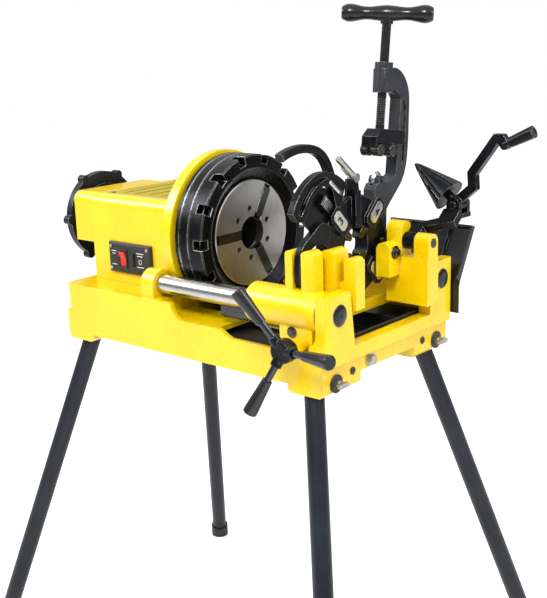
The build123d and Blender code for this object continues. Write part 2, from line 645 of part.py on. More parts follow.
with BuildPart() as rear_chuck_ring:
    with BuildSketch(x_plane(REAR_FACE + 10)):
        Circle(90)
        with PolarLocations(90, 6):
            Circle(9)
        Circle(REAR_BODY_R + FIT, mode=Mode.SUBTRACT)
    extrude(amount=16)
    fillet(rear_chuck_ring.edges().filter_by(Axis.X), 3)
    with BuildSketch(x_plane(REAR_FACE + 9)):
        Circle(82)
        Circle(71, mode=Mode.SUBTRACT)
    extrude(amount=7, mode=Mode.SUBTRACT)
export(rear_chuck_ring, "rear_chuck_ring")

for number, angle in enumerate(JAW_ANGLES, 1):
    with BuildPart() as jaw:
        with BuildSketch(across(REAR_FACE - 14, angle)):
            with BuildLine():
                Polyline((33, -2), (38, -6.4), (62, -6.4), (62, 6.4), (38, 6.4), (33, 2), close=True)
            make_face()
        extrude(amount=11.9)
    export(jaw, f"rear_jaw_{number}")

# ---- rails and rack -----------------------------------------------------------------------
RACK_TOP = RAIL_Z - 16.0
RACK_PITCH_Z = WHEEL_SHAFT_Z + PINION_TEETH * GEAR_M / 2
RACK_X = (62.0, 284.0)
RACK_HALF = 6.0
PITCH = pi * GEAR_M

for name, side in (("guide_rail_front", -1), ("guide_rail_rear", 1)):
    with BuildPart() as rail:
        with BuildSketch(x_plane(RAIL_LEFT)):
            with Locations((side * RAIL_Y, RAIL_Z)):
                Circle(RAIL_R)
        extrude(amount=BASE_RIGHT - RAIL_LEFT + 0.5)
        chamfer(rail.faces().sort_by(Axis.X)[-1].edges(), 1)
        if side < 0:
            # flat under the front rail for the rack
            with Locations((sum(RACK_X) / 2, -RAIL_Y, RACK_TOP)):
                Box(RACK_X[1] - RACK_X[0], 40, 10, align=(Align.CENTER, Align.CENTER, Align.MAX),
                    mode=Mode.SUBTRACT)
    export(rail, name)

with BuildPart() as rack:
    with Locations((sum(RACK_X) / 2, -RAIL_Y, RACK_TOP)):
        Box(RACK_X[1] - RACK_X[0], 2 * RACK_HALF, RACK_TOP - RACK_PITCH_Z + 0.8 * GEAR_M,
            align=(Align.CENTER, Align.CENTER, Align.MAX))
    # the gap that a pinion tooth fills at rest lies straight above the pinion shaft
    with BuildSketch(y_plane(-RAIL_Y - RACK_HALF - 1)):
        for step in range(-31, 5):
            with Locations((WHEEL_SHAFT_X + step * PITCH, RACK_PITCH_Z + 0.2)):
                Trapezoid(0.80 * PITCH, 2.2 * GEAR_M, 69)
    extrude(amount=-2 * RACK_HALF - 2, mode=Mode.SUBTRACT)
export(rack, "rack")

# ---- carriage -----------------------------------------------------------------------------
SLEEVE_X = (140.0, 287.0)
SLEEVE_R = 34.0
REAR_SLEEVE_X = (160.0, 287.0)
REAR_SLEEVE_R = 31.0
BRIDGE_Z = (-122.0, -104.0)
EAR_TOP = HINGE_Z + 18.0

LUG_BOTTOM = -78.0
PEDESTAL_BOTTOM = -110.0

with BuildPart() as carriage:
    # bridge between the sleeves with its chip opening
    with Locations((196, 0, BRIDGE_Z[0])):
        Box(72, 2 * RAIL_Y - 30, BRIDGE_Z[1] - BRIDGE_Z[0], align=(Align.CENTER, Align.CENTER, Align.MIN))
    with Locations((196, 0, BRIDGE_Z[0])):
        Box(44, 120, 60, mode=Mode.SUBTRACT)
    # sleeves on the rails
    for side, span, radius in ((-1, SLEEVE_X, SLEEVE_R), (1, REAR_SLEEVE_X, REAR_SLEEVE_R)):
        with BuildSketch(x_plane(span[0])):
            with Locations((side * RAIL_Y, RAIL_Z)):
                Circle(radius)
            with Locations((side * (RAIL_Y - 16), (RAIL_Z + BRIDGE_Z[0]) / 2)):
                Rectangle(30, RAIL_Z - BRIDGE_Z[0])
        extrude(amount=span[1] - span[0])
    # front fork that takes the foot of the die head, rounded ears
    for x0, x1, top in ((212.0, 227.0, 19.0), (245.0, 271.0, 22.0)):
        with BuildSketch(y_plane(-162)):
            with BuildLine():
                Polyline((x0, top - 7), (x0, RAIL_Z + 20), (x1, RAIL_Z + 20), (x1, top - 7))
                RadiusArc((x1, top - 7), (x0, top - 7), -((x1 - x0) ** 2 / 4 + 49) / 14)
            make_face()
        extrude(amount=-24)
    # two lugs on the inner side of the front sleeve, joined by a low web
    for x0, x1, y0, top in ((256.0, 284.0, -126.0, 19.0), (292.0, 316.0, -112.0, 7.0)):
        with BuildSketch(y_plane(y0)):
            with BuildLine():
                Polyline((x0, top - 6), (x0, LUG_BOTTOM), (x1, LUG_BOTTOM), (x1, top - 6))
                RadiusArc((x1, top - 6), (x0, top - 6), -((x1 - x0) ** 2 / 4 + 36) / 12)
            make_face()
        extrude(amount=y0 + 88)
    with Locations((288, -100, LUG_BOTTOM)):
        Box(20, 24, 44, align=(Align.CENTER, Align.CENTER, Align.MIN))
    # small block with a bolt in front of the tall block of the reamer hinge
    with BuildSketch(y_plane(44)):
        with BuildLine():
            Polyline((246, -12), (246, -60), (274, -60), (274, -12))
            RadiusArc((274, -12), (246, -12), -14.1)
        make_face()
    extrude(amount=-34)
    # plate that hangs from the front sleeve over the tray
    with BuildSketch(y_plane(-175)):
        with BuildLine():
            Polyline((208, RAIL_Z), (208, -126), (220, -136), (275, -136), (275, RAIL_Z), close=True)
        make_face()
    extrude(amount=-12)
    # saddle and ears for the common hinge pin of cutter and die head
    with Locations(((160 + 232) / 2, 140, BRIDGE_Z[0])):
        Box(72, 44, HINGE_Z - 20 - BRIDGE_Z[0], align=(Align.CENTER, Align.CENTER, Align.MIN))
    for x0, x1 in ((160.0, 171.5), (196.5, 206.0), (217.5, 232.0)):
        with BuildSketch(x_plane(x0)):
            with BuildLine():
                Polyline((HINGE_Y - 15, HINGE_Z), (HINGE_Y - 15, HINGE_Z - 24), (HINGE_Y + 15, HINGE_Z - 24),
                         (HINGE_Y + 15, HINGE_Z))
                RadiusArc((HINGE_Y + 15, HINGE_Z), (HINGE_Y - 15, HINGE_Z), -15.5)
            make_face()
        extrude(amount=x1 - x0)
    # pedestal of the reamer hinge: tall block, slot and lug
    with Locations((288.5, REAMER_Y, PEDESTAL_BOTTOM)):
        Box(85, 34, REAMER_Z - 26 - PEDESTAL_BOTTOM, align=(Align.CENTER, Align.CENTER, Align.MIN))
    for x0, x1, top in ((246.0, 276.5, 33.0), (301.5, 331.0, 15.0)):
        with BuildSketch(x_plane(x0)):
            with BuildLine():
                Polyline((REAMER_Y - 15, top - 14), (REAMER_Y - 15, REAMER_Z - 30), (REAMER_Y + 15, REAMER_Z - 30),
                         (REAMER_Y + 15, top - 14))
                RadiusArc((REAMER_Y + 15, top - 14), (REAMER_Y - 15, top - 14), -15.04)
            make_face()
        extrude(amount=x1 - x0)
    # wall between the reamer pedestal and the rear sleeve
    with Locations((262, 120, PEDESTAL_BOTTOM)):
        Box(50, 50, 50, align=(Align.CENTER, Align.CENTER, Align.MIN))
    # apron with the two bearings of the pinion shaft
    with BuildSketch(y_plane(-202)):
        with Locations((WHEEL_SHAFT_X, WHEEL_SHAFT_Z)):
            Circle(13)
    extrude(amount=-30)
    for y0, y1, radius in ((-175.0, -163.0, 13.0), (-141.0, -127.0, 11.0)):
        with BuildSketch(y_plane(y0)):
            with Locations((WHEEL_SHAFT_X, WHEEL_SHAFT_Z)):
                Circle(radius)
            with Locations((WHEEL_SHAFT_X, WHEEL_SHAFT_Z + 18)):
                Rectangle(2 * radius, 36)
        extrude(amount=y0 - y1)
    # bores: rails, pinion shaft, hinge pins
    for side in (-1, 1):
        with BuildSketch(x_plane(100)):
            with Locations((side * RAIL_Y, RAIL_Z)):
                Circle(RAIL_R + FIT)
        extrude(amount=240, mode=Mode.SUBTRACT)
    with BuildSketch(y_plane(-210)):
        with Locations((WHEEL_SHAFT_X, WHEEL_SHAFT_Z)):
            Circle(7 + FIT)
    extrude(amount=-90, mode=Mode.SUBTRACT)
    with BuildSketch(x_plane(150, HINGE_Y, HINGE_Z)):
        Circle(HINGE_R + SEAT)
    extrude(amount=90, mode=Mode.SUBTRACT)
    with BuildSketch(x_plane(240, REAMER_Y, REAMER_Z)):
        Circle(HINGE_R + SEAT)
    extrude(amount=100, mode=Mode.SUBTRACT)
    # slot along the front sleeve for rack and pinion
    with Locations((sum(SLEEVE_X) / 2, -RAIL_Y, RACK_TOP + 1)):
        Box(SLEEVE_X[1] - SLEEVE_X[0] + 2, 2 * RACK_HALF + 3, 60, align=(Align.CENTER, Align.CENTER, Align.MAX),
            mode=Mode.SUBTRACT)
export(carriage, "carriage")

with BuildPart() as hinge_pins:
    for x0, x1, y, z in ((158.0, 234.0, HINGE_Y, HINGE_Z), (244.0, 333.0, REAMER_Y, REAMER_Z)):
        with BuildSketch(x_plane(x0, y, z)):
            Circle(HINGE_R)
        extrude(amount=x1 - x0)
    chamfer(hinge_pins.edges().filter_by(GeomType.CIRCLE), 1)
export(hinge_pins, "hinge_pins")

# ---- handwheel ----------------------------------------------------------------------------
with BuildPart() as pinion_shaft:
    with BuildSketch(y_plane(HUB_Y + 8)):
        with Locations((WHEEL_SHAFT_X, WHEEL_SHAFT_Z)):
            Circle(7)
    extrude(amount=HUB_Y + 8 + 126)
    with BuildSketch(y_plane(-RAIL_Y - RACK_HALF, WHEEL_SHAFT_X, WHEEL_SHAFT_Z)):
        gear_sketch(PINION_TEETH, GEAR_M, 90)
    extrude(amount=-2 * RACK_HALF)
export(pinion_shaft, "pinion_shaft")

hub_origin = (WHEEL_SHAFT_X, HUB_Y, WHEEL_SHAFT_Z)
arm_tilt = degrees(atan2(ARM_LEAN, ARM_LENGTH))
arm_planes = [
    Plane(origin=hub_origin, x_dir=(0, 1, 0),
          z_dir=(cos(radians(a)) * cos(radians(arm_tilt)), -sin(radians(arm_tilt)),
                 sin(radians(a)) * cos(radians(arm_tilt))))
    for a in (ARM_START, ARM_START + 120, ARM_START + 240)
]
ARM_RUN = hypot(ARM_LENGTH, ARM_LEAN)

with BuildPart() as handwheel_hub:
    with BuildSketch(Plane(origin=hub_origin, x_dir=(1, 0, 0), z_dir=(0, -1, 0))):
        Circle(20)
    extrude(amount=12, both=True)
    fillet(handwheel_hub.edges().filter_by(GeomType.CIRCLE), 5)
    with BuildSketch(Plane(origin=hub_origin, x_dir=(1, 0, 0), z_dir=(0, 1, 0))):
        Circle(13)
    extrude(amount=18)
    for plane in arm_planes:
        with BuildSketch(plane.offset(10)):
            Circle(9.5)
        extrude(amount=18)
    with BuildSketch(y_plane(HUB_Y + 8)):
        with Locations((WHEEL_SHAFT_X, WHEEL_SHAFT_Z)):
            Circle(7 + SEAT)
    extrude(amount=-30, mode=Mode.SUBTRACT)
    for plane in arm_planes:
        with BuildSketch(plane.offset(18)):
            Circle(6 + SEAT)
        extrude(amount=20, mode=Mode.SUBTRACT)
export(handwheel_hub, "handwheel_hub")

with BuildPart() as handwheel_arms:
    for plane in arm_planes:
        with BuildSketch(plane.offset(18.1)):
            Circle(6)
        extrude(amount=ARM_RUN - 30)
export(handwheel_arms, "handwheel_arms")

with BuildPart() as handwheel_grips:
    for plane in arm_planes:
        with BuildSketch(plane.offset(ARM_RUN - 66)):
            Circle(8.5)
            Circle(6 + SEAT, mode=Mode.SUBTRACT)
        with BuildSketch(plane.offset(ARM_RUN - 11)):
            Circle(12)
            Circle(6 + SEAT, mode=Mode.SUBTRACT)
        loft()
        with BuildSketch(plane.offset(ARM_RUN - 11)):
            Circle(12)
        extrude(amount=9)
    fillet(handwheel_grips.edges().filter_by(GeomType.CIRCLE).filter_by(lambda e: abs(e.radius - 12) < 0.01), 2.5)
export(handwheel_grips, "handwheel_grips")

# ---- die head -----------------------------------------------------------------------------
HEAD_BORE = 34.0
SPIGOT_R = 41.0
DIE_ANGLES = (45, 135, 225, 315)
DIE_WIDTH = 14.0
DIE_FLOOR = 219.0
COVER_RIGHT = 242.0
ARM_X = (229.0, 241.0)    # front arm, stands between the ears of the fork
CAM_X = (208.5, 216.0)
CAM_R = 78.0
LOCK_Y, LOCK_Z = -5.0, 117.0

with BuildPart() as die_head_body:
    with BuildSketch(x_plane(HEAD_LEFT)):
        Circle(HEAD_R)
    extrude(amount=HEAD_RIGHT - HEAD_LEFT)
    chamfer(die_head_body.edges().filter_by(GeomType.CIRCLE), 3)
    # covers over the four die slots
    for angle in DIE_ANGLES:
        with BuildSketch(across(HEAD_RIGHT, angle)) as cover_outline:
            with Locations((71, 0)):
                Rectangle(54, 32)
            chamfer(cover_outline.vertices(), 7)
        extrude(amount=COVER_RIGHT - HEAD_RIGHT)
    # upright ribbed strip and boss of the lock lever
    with Locations((HEAD_RIGHT - 2, -5, 34)):
        Box(11, 15, 62, align=(Align.MIN, Align.CENTER, Align.MIN))
    with BuildSketch(x_plane(ARM_X[0])):
        with BuildLine():
            Polyline((-24, 74), (-20, LOCK_Z), (12, LOCK_Z - 6), (18, 74), close=True)
        make_face()
    extrude(amount=3.5)
    with BuildSketch(x_plane(ARM_X[0])):
        with Locations((LOCK_Y, LOCK_Z)):
            Circle(9)
    extrude(amount=3.5)
    # curved guard with a groove along it
    with BuildSketch(x_plane(ARM_X[0])):
        with BuildLine():
            Spline((-34, 112), (-70, 133), (-104, 137), (-132, 127), (-156, 108), (-173, 80))
            Polyline((-173, 80), (-163, 66), (-146, 64))
            Spline((-146, 64), (-127, 90), (-112, 107), (-94, 114), (-70, 106))
            Polyline((-70, 106), (-56, 60), (-34, 112))
        make_face()
    extrude(amount=ARM_X[1] - ARM_X[0])
    with BuildSketch(x_plane(ARM_X[1] - 5)):
        with BuildLine():
            Spline((-84, 126), (-108, 127), (-132, 115), (-150, 95), (-160, 78))
            Line((-160, 78), (-152, 74))
            Spline((-152, 74), (-139, 92), (-122, 110), (-104, 120), (-84, 126))
        make_face()
    extrude(amount=6, mode=Mode.SUBTRACT)
    # front arm, which stands between the ears of the fork
    with BuildSketch(x_plane(ARM_X[0])):
        with BuildLine():
            Spline((-78, 44), (-104, 54), (-126, 40), (-148, 26), (-158, 4), (-156, -41))
            Line((-156, -41), (-143, -41))
            Spline((-143, -41), (-143, -4), (-132, 14), (-112, 22), (-84, 8))
            Line((-84, 8), (-78, 44))
        make_face()
    extrude(amount=ARM_X[1] - ARM_X[0])
    # hinge arm
    with Locations(((206.5 + HEAD_RIGHT) / 2, 92, -14)):
        Box(HEAD_RIGHT - 206.5, 24, 52)
    with BuildSketch(x_plane(206.5)):
        with Locations((HINGE_Y, HINGE_Z)):
            Circle(14.5)
        with BuildLine():
            Polyline((96, 12), (HINGE_Y, HINGE_Z + 14), (HINGE_Y, HINGE_Z - 14), (96, -40), close=True)
        make_face()
    extrude(amount=9.5)
    # spigot that carries the cam plate
    with BuildSketch(x_plane(CAM_X[0])):
        Circle(SPIGOT_R)
    extrude(amount=HEAD_LEFT - CAM_X[0] + 1)
    # bore, die slots and hinge bore
    with BuildSketch(x_plane(200)):
        Circle(HEAD_BORE)
        with Locations((HINGE_Y, HINGE_Z)):
            Circle(HINGE_R + FIT)
    extrude(amount=50, mode=Mode.SUBTRACT)
    for angle in DIE_ANGLES:
        with BuildSketch(across(DIE_FLOOR, angle)):
            with Locations((48, 0)):
                Rectangle(40, DIE_WIDTH)
        extrude(amount=HEAD_RIGHT - DIE_FLOOR, mode=Mode.SUBTRACT)
    with BuildSketch(x_plane(ARM_X[0] - 1)):
        with Locations((LOCK_Y, LOCK_Z)):
            Circle(4 + FIT)
    extrude(amount=6, mode=Mode.SUBTRACT)
export(die_head_body, "die_head_body")

for number, angle in enumerate(DIE_ANGLES, 1):
    with BuildPart() as die:
        with BuildSketch(across(DIE_FLOOR + 0.2, angle)):
            with BuildLine():
                Polyline((17, -3), (24, -DIE_WIDTH / 2 + 0.1), (60, -DIE_WIDTH / 2 + 0.1),
                         (60, DIE_WIDTH / 2 - 0.1), (24, DIE_WIDTH / 2 - 0.1), (17, 3), close=True)
            make_face()
        extrude(amount=16)
    export(die, f"die_{number}")

with BuildPart() as die_tags:
    for angle in DIE_ANGLES:
        with BuildSketch(across(COVER_RIGHT, angle)) as tag_outline:
            with Locations((73, 0)):
                Rectangle(40, 20)
            chamfer(tag_outline.vertices(), 5)
        extrude(amount=1.2)
export(die_tags, "die_tags")

with BuildPart() as cam_plate:
    with BuildSketch(x_plane(CAM_X[0])):
        Circle(CAM_R)
        with BuildLine():
            Polyline((-12, 60), (-28, 106), (-54, 104), (-50, 50), close=True)
        make_face()
        Circle(SPIGOT_R + FIT, mode=Mode.SUBTRACT)
    extrude(amount=CAM_X[1] - CAM_X[0])
    chamfer(cam_plate.edges().filter_by(GeomType.CIRCLE).group_by(Axis.X)[0], 1)
export(cam_plate, "cam_plate")

with BuildPart() as throwout_handle:
    with BuildLine(x_plane(219)) as handle_path:
        Spline((-41, 94), (-52, 130), (-72, 160), (-118, 176), (-176, 167))
    with BuildSketch(Plane(handle_path.line @ 0, x_dir=(1, 0, 0), z_dir=handle_path.line % 0)):
        RectangleRounded(17, 14, 4)
    sweep()
    with BuildSketch(x_plane(216.1)):
        with Locations((-42, 98)):
            Circle(9)
    extrude(amount=11)
    # step that lies over the ear of the cam plate
    with Locations((CAM_X[0] - 3, -41, 88)):
        Box(CAM_X[1] - CAM_X[0] + 3.1, 64, 38, align=(Align.MIN, Align.CENTER, Align.CENTER), mode=Mode.SUBTRACT)
export(throwout_handle, "throwout_handle")

with BuildPart() as head_link_rod:
    # eye and pin on the lock boss
    with BuildSketch(x_plane(233)):
        with Locations((LOCK_Y, LOCK_Z)):
            Circle(8)
    extrude(amount=10)
    with BuildSketch(x_plane(ARM_X[0] + 0.2)):
        with Locations((LOCK_Y, LOCK_Z)):
            Circle(4 - SEAT)
    extrude(amount=10)
    # rod with its nut, rising towards the throw-out handle
    with BuildSketch(Plane((238.5, LOCK_Y, LOCK_Z), x_dir=(1, 0, 0), z_dir=(0, -44, 35))):
        Circle(4)
    extrude(amount=52)
    with BuildSketch(Plane((238.5, LOCK_Y - 9.4, LOCK_Z + 7.5), x_dir=(1, 0, 0), z_dir=(0, -44, 35))):
        Circle(5.4)
    extrude(amount=38)
    with BuildSketch(Plane((238.5, LOCK_Y - 40, LOCK_Z + 31.8), x_dir=(1, 0, 0), z_dir=(0, -44, 35))):
        RegularPolygon(5.5, 6)
    extrude(amount=9)
export(head_link_rod, "head_link_rod")

# ---- pipe cutter --------------------------------------------------------------------------
STEM_FOOT = (CUTTER_X, 141.5, 143.0)
STEM_LEAN = 7.07          # degrees the feed screw leans back
STEM_DIR = (0, sin(radians(STEM_LEAN)), cos(radians(STEM_LEAN)))
STEM_SIDE = (0, cos(radians(STEM_LEAN)), -sin(radians(STEM_LEAN)))
SCREW_R = 8.0
ROLLER_R = 11.0
ROLLER_HALF = 20.5
ROLLER_PIN_R = 5.0
WEB_HALF = 4.0
ROLLER_P = 19.0           # rollers sit this far to each side of the screw
CUT_WHEEL_R = 16.0
CUT_WHEEL_Q = -51.3       # cutting wheel below the foot of the screw


def stem_side(x):
    """Plane across X in the coordinates of the feed screw: x to the rear, y along the screw."""
    return Plane(origin=(x, STEM_FOOT[1], STEM_FOOT[2]), x_dir=STEM_SIDE, z_dir=(1, 0, 0))


def stem_end(along):
    """Plane across the feed screw, at a distance along it from its foot."""
    origin = [STEM_FOOT[i] + along * STEM_DIR[i] for i in range(3)]
    return Plane(origin=origin, x_dir=(1, 0, 0), z_dir=STEM_DIR)


with BuildPart() as cutter_frame:
    with BuildSketch(x_plane(CUTTER_X - CUTTER_HALF)):
        with BuildLine():
            Polyline((122, -26), (119, 40), (112, 58), (112, 78), (120, 88), (164, 88), (181, 98))
            Line((181, 98), (197, 232))
            Spline((197, 232), (188, 244), (171, 247))
            Polyline((171, 247), (142, 247), (145, 288), (178, 288))
            Spline((178, 288), (202, 277), (221, 248), (223, 206), (219, 140), (204, 90), (174, 60), (150, 38))
            Line((150, 38), (149, -26))
            Line((149, -26), (122, -26))
        make_face()
    extrude(amount=2 * CUTTER_HALF)
    # weight-saving pocket on both sides of the back
    for x in (CUTTER_X - CUTTER_HALF, CUTTER_X + CUTTER_HALF - 4):
        with BuildSketch(x_plane(x)):
            with BuildLine():
                Polyline((199, 120), (205, 120), (210, 160), (213, 215), (207, 234), (203, 226), close=True)
            make_face()
        extrude(amount=4, mode=Mode.SUBTRACT)
    # boss round the screw
    with BuildSketch(stem_end(104)):
        Circle(16)
    extrude(amount=52)
    # knuckle and bosses of the cutting wheel
    with BuildSketch(x_plane(CUTTER_X - CUTTER_HALF)):
        with Locations((HINGE_Y, HINGE_Z)):
            Circle(15)
    extrude(amount=2 * CUTTER_HALF)
    with BuildSketch(stem_side(CUTTER_X - CUTTER_HALF)):
        with Locations((0, CUT_WHEEL_Q - 3)):
            SlotOverall(24, 16, rotation=90)
    extrude(amount=2 * CUTTER_HALF)
    # cut-outs: hinge bore, screw bore, slot of the cutting wheel
    with BuildSketch(x_plane(CUTTER_X - 20)):
        with Locations((HINGE_Y, HINGE_Z)):
            Circle(HINGE_R + FIT)
    extrude(amount=40, mode=Mode.SUBTRACT)
    with BuildSketch(stem_end(90)):
        Circle(SCREW_R + FIT)
    extrude(amount=90, mode=Mode.SUBTRACT)
    with BuildSketch(stem_side(CUTTER_X - 4)):
        with Locations((0, CUT_WHEEL_Q)):
            Circle(CUT_WHEEL_R + 3)
    extrude(amount=8, mode=Mode.SUBTRACT)
    # pin of the cutting wheel
    with BuildSketch(stem_side(CUTTER_X - CUTTER_HALF - 3)):
        with Locations((0, CUT_WHEEL_Q)):
            Circle(4)
    extrude(amount=2 * CUTTER_HALF + 6)
export(cutter_frame, "cutter_frame")

with BuildPart() as cutter_wheel:
    with BuildSketch(stem_side(CUTTER_X - 3.5)):
        with Locations((0, CUT_WHEEL_Q)):
            Circle(CUT_WHEEL_R)
            Circle(4 + FIT, mode=Mode.SUBTRACT)
    extrude(amount=7)
    chamfer(cutter_wheel.edges().filter_by(GeomType.CIRCLE).sort_by(SortBy.LENGTH)[-2:], 3.3, 5)
export(cutter_wheel, "cutter_wheel")

with BuildPart() as cutter_slide:
    with BuildSketch(stem_side(CUTTER_X - 16)):
        with BuildLine():
            Polyline((-31, -4), (31, -4), (31, 10), (43.2, 14), (43.2, 40), (-16, 40), (-31, 26), close=True)
        make_face()
    extrude(amount=32)
    # cheeks that guide the slide on the back of the frame
    for x in (CUTTER_X - 16, CUTTER_X + CUTTER_HALF + 0.3):
        with BuildSketch(stem_side(x)):
            with Locations((50, 27)):
                Rectangle(14, 26)
        extrude(amount=3.7)
    # room for the rollers on both sides of a middle web, bores of their pins, bore of the screw end
    for x in (CUTTER_X - 20, CUTTER_X + WEB_HALF):
        with BuildSketch(stem_side(x)):
            with Locations((-ROLLER_P, 2.5), (ROLLER_P, 2.5)):
                Circle(ROLLER_R + 1.5)
            with Locations((0, -4)):
                Rectangle(90, 12)
        extrude(amount=20 - WEB_HALF, mode=Mode.SUBTRACT)
    with BuildSketch(stem_side(CUTTER_X - 20)):
        with Locations((-ROLLER_P, 2.5), (ROLLER_P, 2.5)):
            Circle(ROLLER_PIN_R + FIT)
    extrude(amount=40, mode=Mode.SUBTRACT)
    with BuildSketch(stem_end(24)):
        Circle(SCREW_R - 2 + FIT)
    extrude(amount=30, mode=Mode.SUBTRACT)
export(cutter_slide, "cutter_slide")

for name, side in (("cutter_roller_front", -ROLLER_P), ("cutter_roller_rear", ROLLER_P)):
    with BuildPart() as roller:
        with BuildSketch(stem_side(CUTTER_X - ROLLER_HALF)):
            with Locations((side, 2.5)):
                Circle(ROLLER_R)
        extrude(amount=2 * ROLLER_HALF)
        chamfer(roller.edges().filter_by(GeomType.CIRCLE), 1.5)
        # waist that runs in the web of the slide
        with BuildSketch(stem_side(CUTTER_X - WEB_HALF - 0.5)):
            with Locations((side, 2.5)):
                Circle(ROLLER_R + 1)
                Circle(ROLLER_PIN_R, mode=Mode.SUBTRACT)
        extrude(amount=2 * WEB_HALF + 1, mode=Mode.SUBTRACT)
        # grooves near both ends
        for x in (CUTTER_X - ROLLER_HALF + 4, CUTTER_X + ROLLER_HALF - 6):
            with BuildSketch(stem_side(x)):
                with Locations((side, 2.5)):
                    Circle(ROLLER_R + 1)
                    Circle(ROLLER_R - 1.5, mode=Mode.SUBTRACT)
            extrude(amount=2, mode=Mode.SUBTRACT)
    export(roller, name)

T_ALONG = 240.0
T_HALF = 80.0
T_TURN = 28.0             # the cross handle is turned this far from the spindle direction
t_centre = tuple(STEM_FOOT[i] + T_ALONG * STEM_DIR[i] for i in range(3))
t_dir = (cos(radians(T_TURN)), sin(radians(T_TURN)) * STEM_SIDE[1], sin(radians(T_TURN)) * STEM_SIDE[2])
t_normal = (-sin(radians(T_TURN)), cos(radians(T_TURN)) * STEM_SIDE[1], cos(radians(T_TURN)) * STEM_SIDE[2])

with BuildPart() as cutter_feed_screw:
    with BuildSketch(stem_end(24.3)):
        Circle(SCREW_R - 2)
    extrude(amount=18)
    with BuildSketch(stem_end(40.3)):
        Circle(SCREW_R)
    extrude(amount=T_ALONG - 40.3)
    # thread grooves
    for turn in range(12):
        with BuildSketch(stem_end(48 + 4 * turn)):
            Circle(SCREW_R + 1)
            Circle(SCREW_R - 0.9, mode=Mode.SUBTRACT)
        extrude(amount=1.6, mode=Mode.SUBTRACT)
    # neck and turned cross handle
    with BuildSketch(stem_end(T_ALONG - 18)):
        Circle(11)
    extrude(amount=12)
    with BuildSketch(Plane(origin=t_centre, x_dir=t_dir, z_dir=t_normal)):
        with BuildLine():
            Line((-T_HALF, 0), (-T_HALF, 11))
            Spline((-T_HALF, 11), (-T_HALF + 9, 15), (-42, 11.5), (0, 14), (42, 11.5), (T_HALF - 9, 15), (T_HALF, 11))
            Polyline((T_HALF, 11), (T_HALF, 0), (-T_HALF, 0))
        make_face()
    revolve(axis=Axis(t_centre, t_dir))
export(cutter_feed_screw, "cutter_feed_screw")

# ---- reamer -------------------------------------------------------------------------------
ARM_PLANE_DIR = (0, HUB_RAISED_Y - REAMER_Y, HUB_RAISED_Z - REAMER_Z)
KNUCKLE_X = (277.5, 300.5)
KNUCKLE_R = 15.0
LEVER_BOSS_R = 13.0
LEVER_HALF = 9.8
LEVER_PIN_R = 6.0
CONE_START = 22.0
CONE_LENGTH = 87.0
CONE_BASE_R = 31.0
CONE_TIP_R = 4.0
STUB_R = 8.0
HUB_ORIGIN = (HUB_X, HUB_RAISED_Y, HUB_RAISED_Z)
CONE_DIR = (-cos(radians(CONE_TILT)), 0, sin(radians(CONE_TILT)))

with BuildPart() as reamer_arm:
    with BuildSketch(x_plane(KNUCKLE_X[0])):
        with Locations((REAMER_Y, REAMER_Z)):
            Circle(KNUCKLE_R)
    extrude(amount=KNUCKLE_X[1] - KNUCKLE_X[0])
    # bar that steps sideways on its way to the fork; sketch x is global X, y runs along the arm
    with BuildSketch(Plane((0, REAMER_Y, REAMER_Z), x_dir=(1, 0, 0), z_dir=(0, -ARM_PLANE_DIR[2], ARM_PLANE_DIR[1]))):
        with BuildLine():
            Polyline((KNUCKLE_X[0], 0), (KNUCKLE_X[1], 0), (KNUCKLE_X[1], 27), (352, 45), (352, 72),
                     (320, 72), (320, 50), (KNUCKLE_X[0], 31), close=True)
        make_face()
    extrude(amount=8, both=True)
    # fork: bridge under the hub and two cheeks
    with Locations((HUB_X, HUB_RAISED_Y, HUB_RAISED_Z - 19)):
        Box(30, 36, 8)
    for y in (HUB_RAISED_Y - 14, HUB_RAISED_Y + 14):
        with Locations((HUB_X, y, HUB_RAISED_Z - 8)):
            Box(26, 8, 24)
        with BuildSketch(y_plane(y - 4, HUB_X, HUB_RAISED_Z)):
            Circle(13)
        extrude(amount=-8)
    # room for the boss of the lever, then its pin
    with BuildSketch(y_plane(HUB_RAISED_Y - 10, HUB_X, HUB_RAISED_Z)):
        Circle(LEVER_BOSS_R + 2)
    extrude(amount=-20, mode=Mode.SUBTRACT)
    with BuildSketch(y_plane(HUB_RAISED_Y - 21, HUB_X, HUB_RAISED_Z)):
        Circle(LEVER_PIN_R)
    extrude(amount=-42)
    with BuildSketch(x_plane(270)):
        with Locations((REAMER_Y, REAMER_Z)):
            Circle(HINGE_R + FIT)
    extrude(amount=40, mode=Mode.SUBTRACT)
export(reamer_arm, "reamer_arm")

LEVER_BENDS = ((338, 64), (366, 88), (364, 112), (408, 172), (417, 172), (424, 162))

with BuildPart() as reamer_lever:
    with BuildSketch(y_plane(HUB_RAISED_Y - LEVER_HALF, HUB_X, HUB_RAISED_Z)):
        Circle(LEVER_BOSS_R)
    extrude(amount=-2 * LEVER_HALF)
    with BuildSketch(Plane(HUB_ORIGIN, x_dir=(0, 1, 0), z_dir=CONE_DIR)):
        Circle(STUB_R)
    extrude(amount=CONE_START + 20)
    # cranked flat bar and its grip
    with BuildSketch(y_plane(HUB_RAISED_Y - 6)):
        with BuildLine():
            Polyline(*LEVER_BENDS)
        trace(line_width=16)
        with Locations(*LEVER_BENDS):
            Circle(8)
    extrude(amount=-13)
    with BuildSketch(Plane((422, HUB_RAISED_Y, 162), x_dir=(0, 1, 0), z_dir=(52.5, 0, 24))):
        Circle(7)
    extrude(amount=58)
    with BuildSketch(Plane((433, HUB_RAISED_Y, 167), x_dir=(0, 1, 0), z_dir=(52.5, 0, 24))):
        Circle(9)
    extrude(amount=44, taper=-2)
    with BuildSketch(y_plane(HUB_RAISED_Y - 12, HUB_X, HUB_RAISED_Z)):
        Circle(LEVER_PIN_R + FIT)
    extrude(amount=-24, mode=Mode.SUBTRACT)
export(reamer_lever, "reamer_lever")

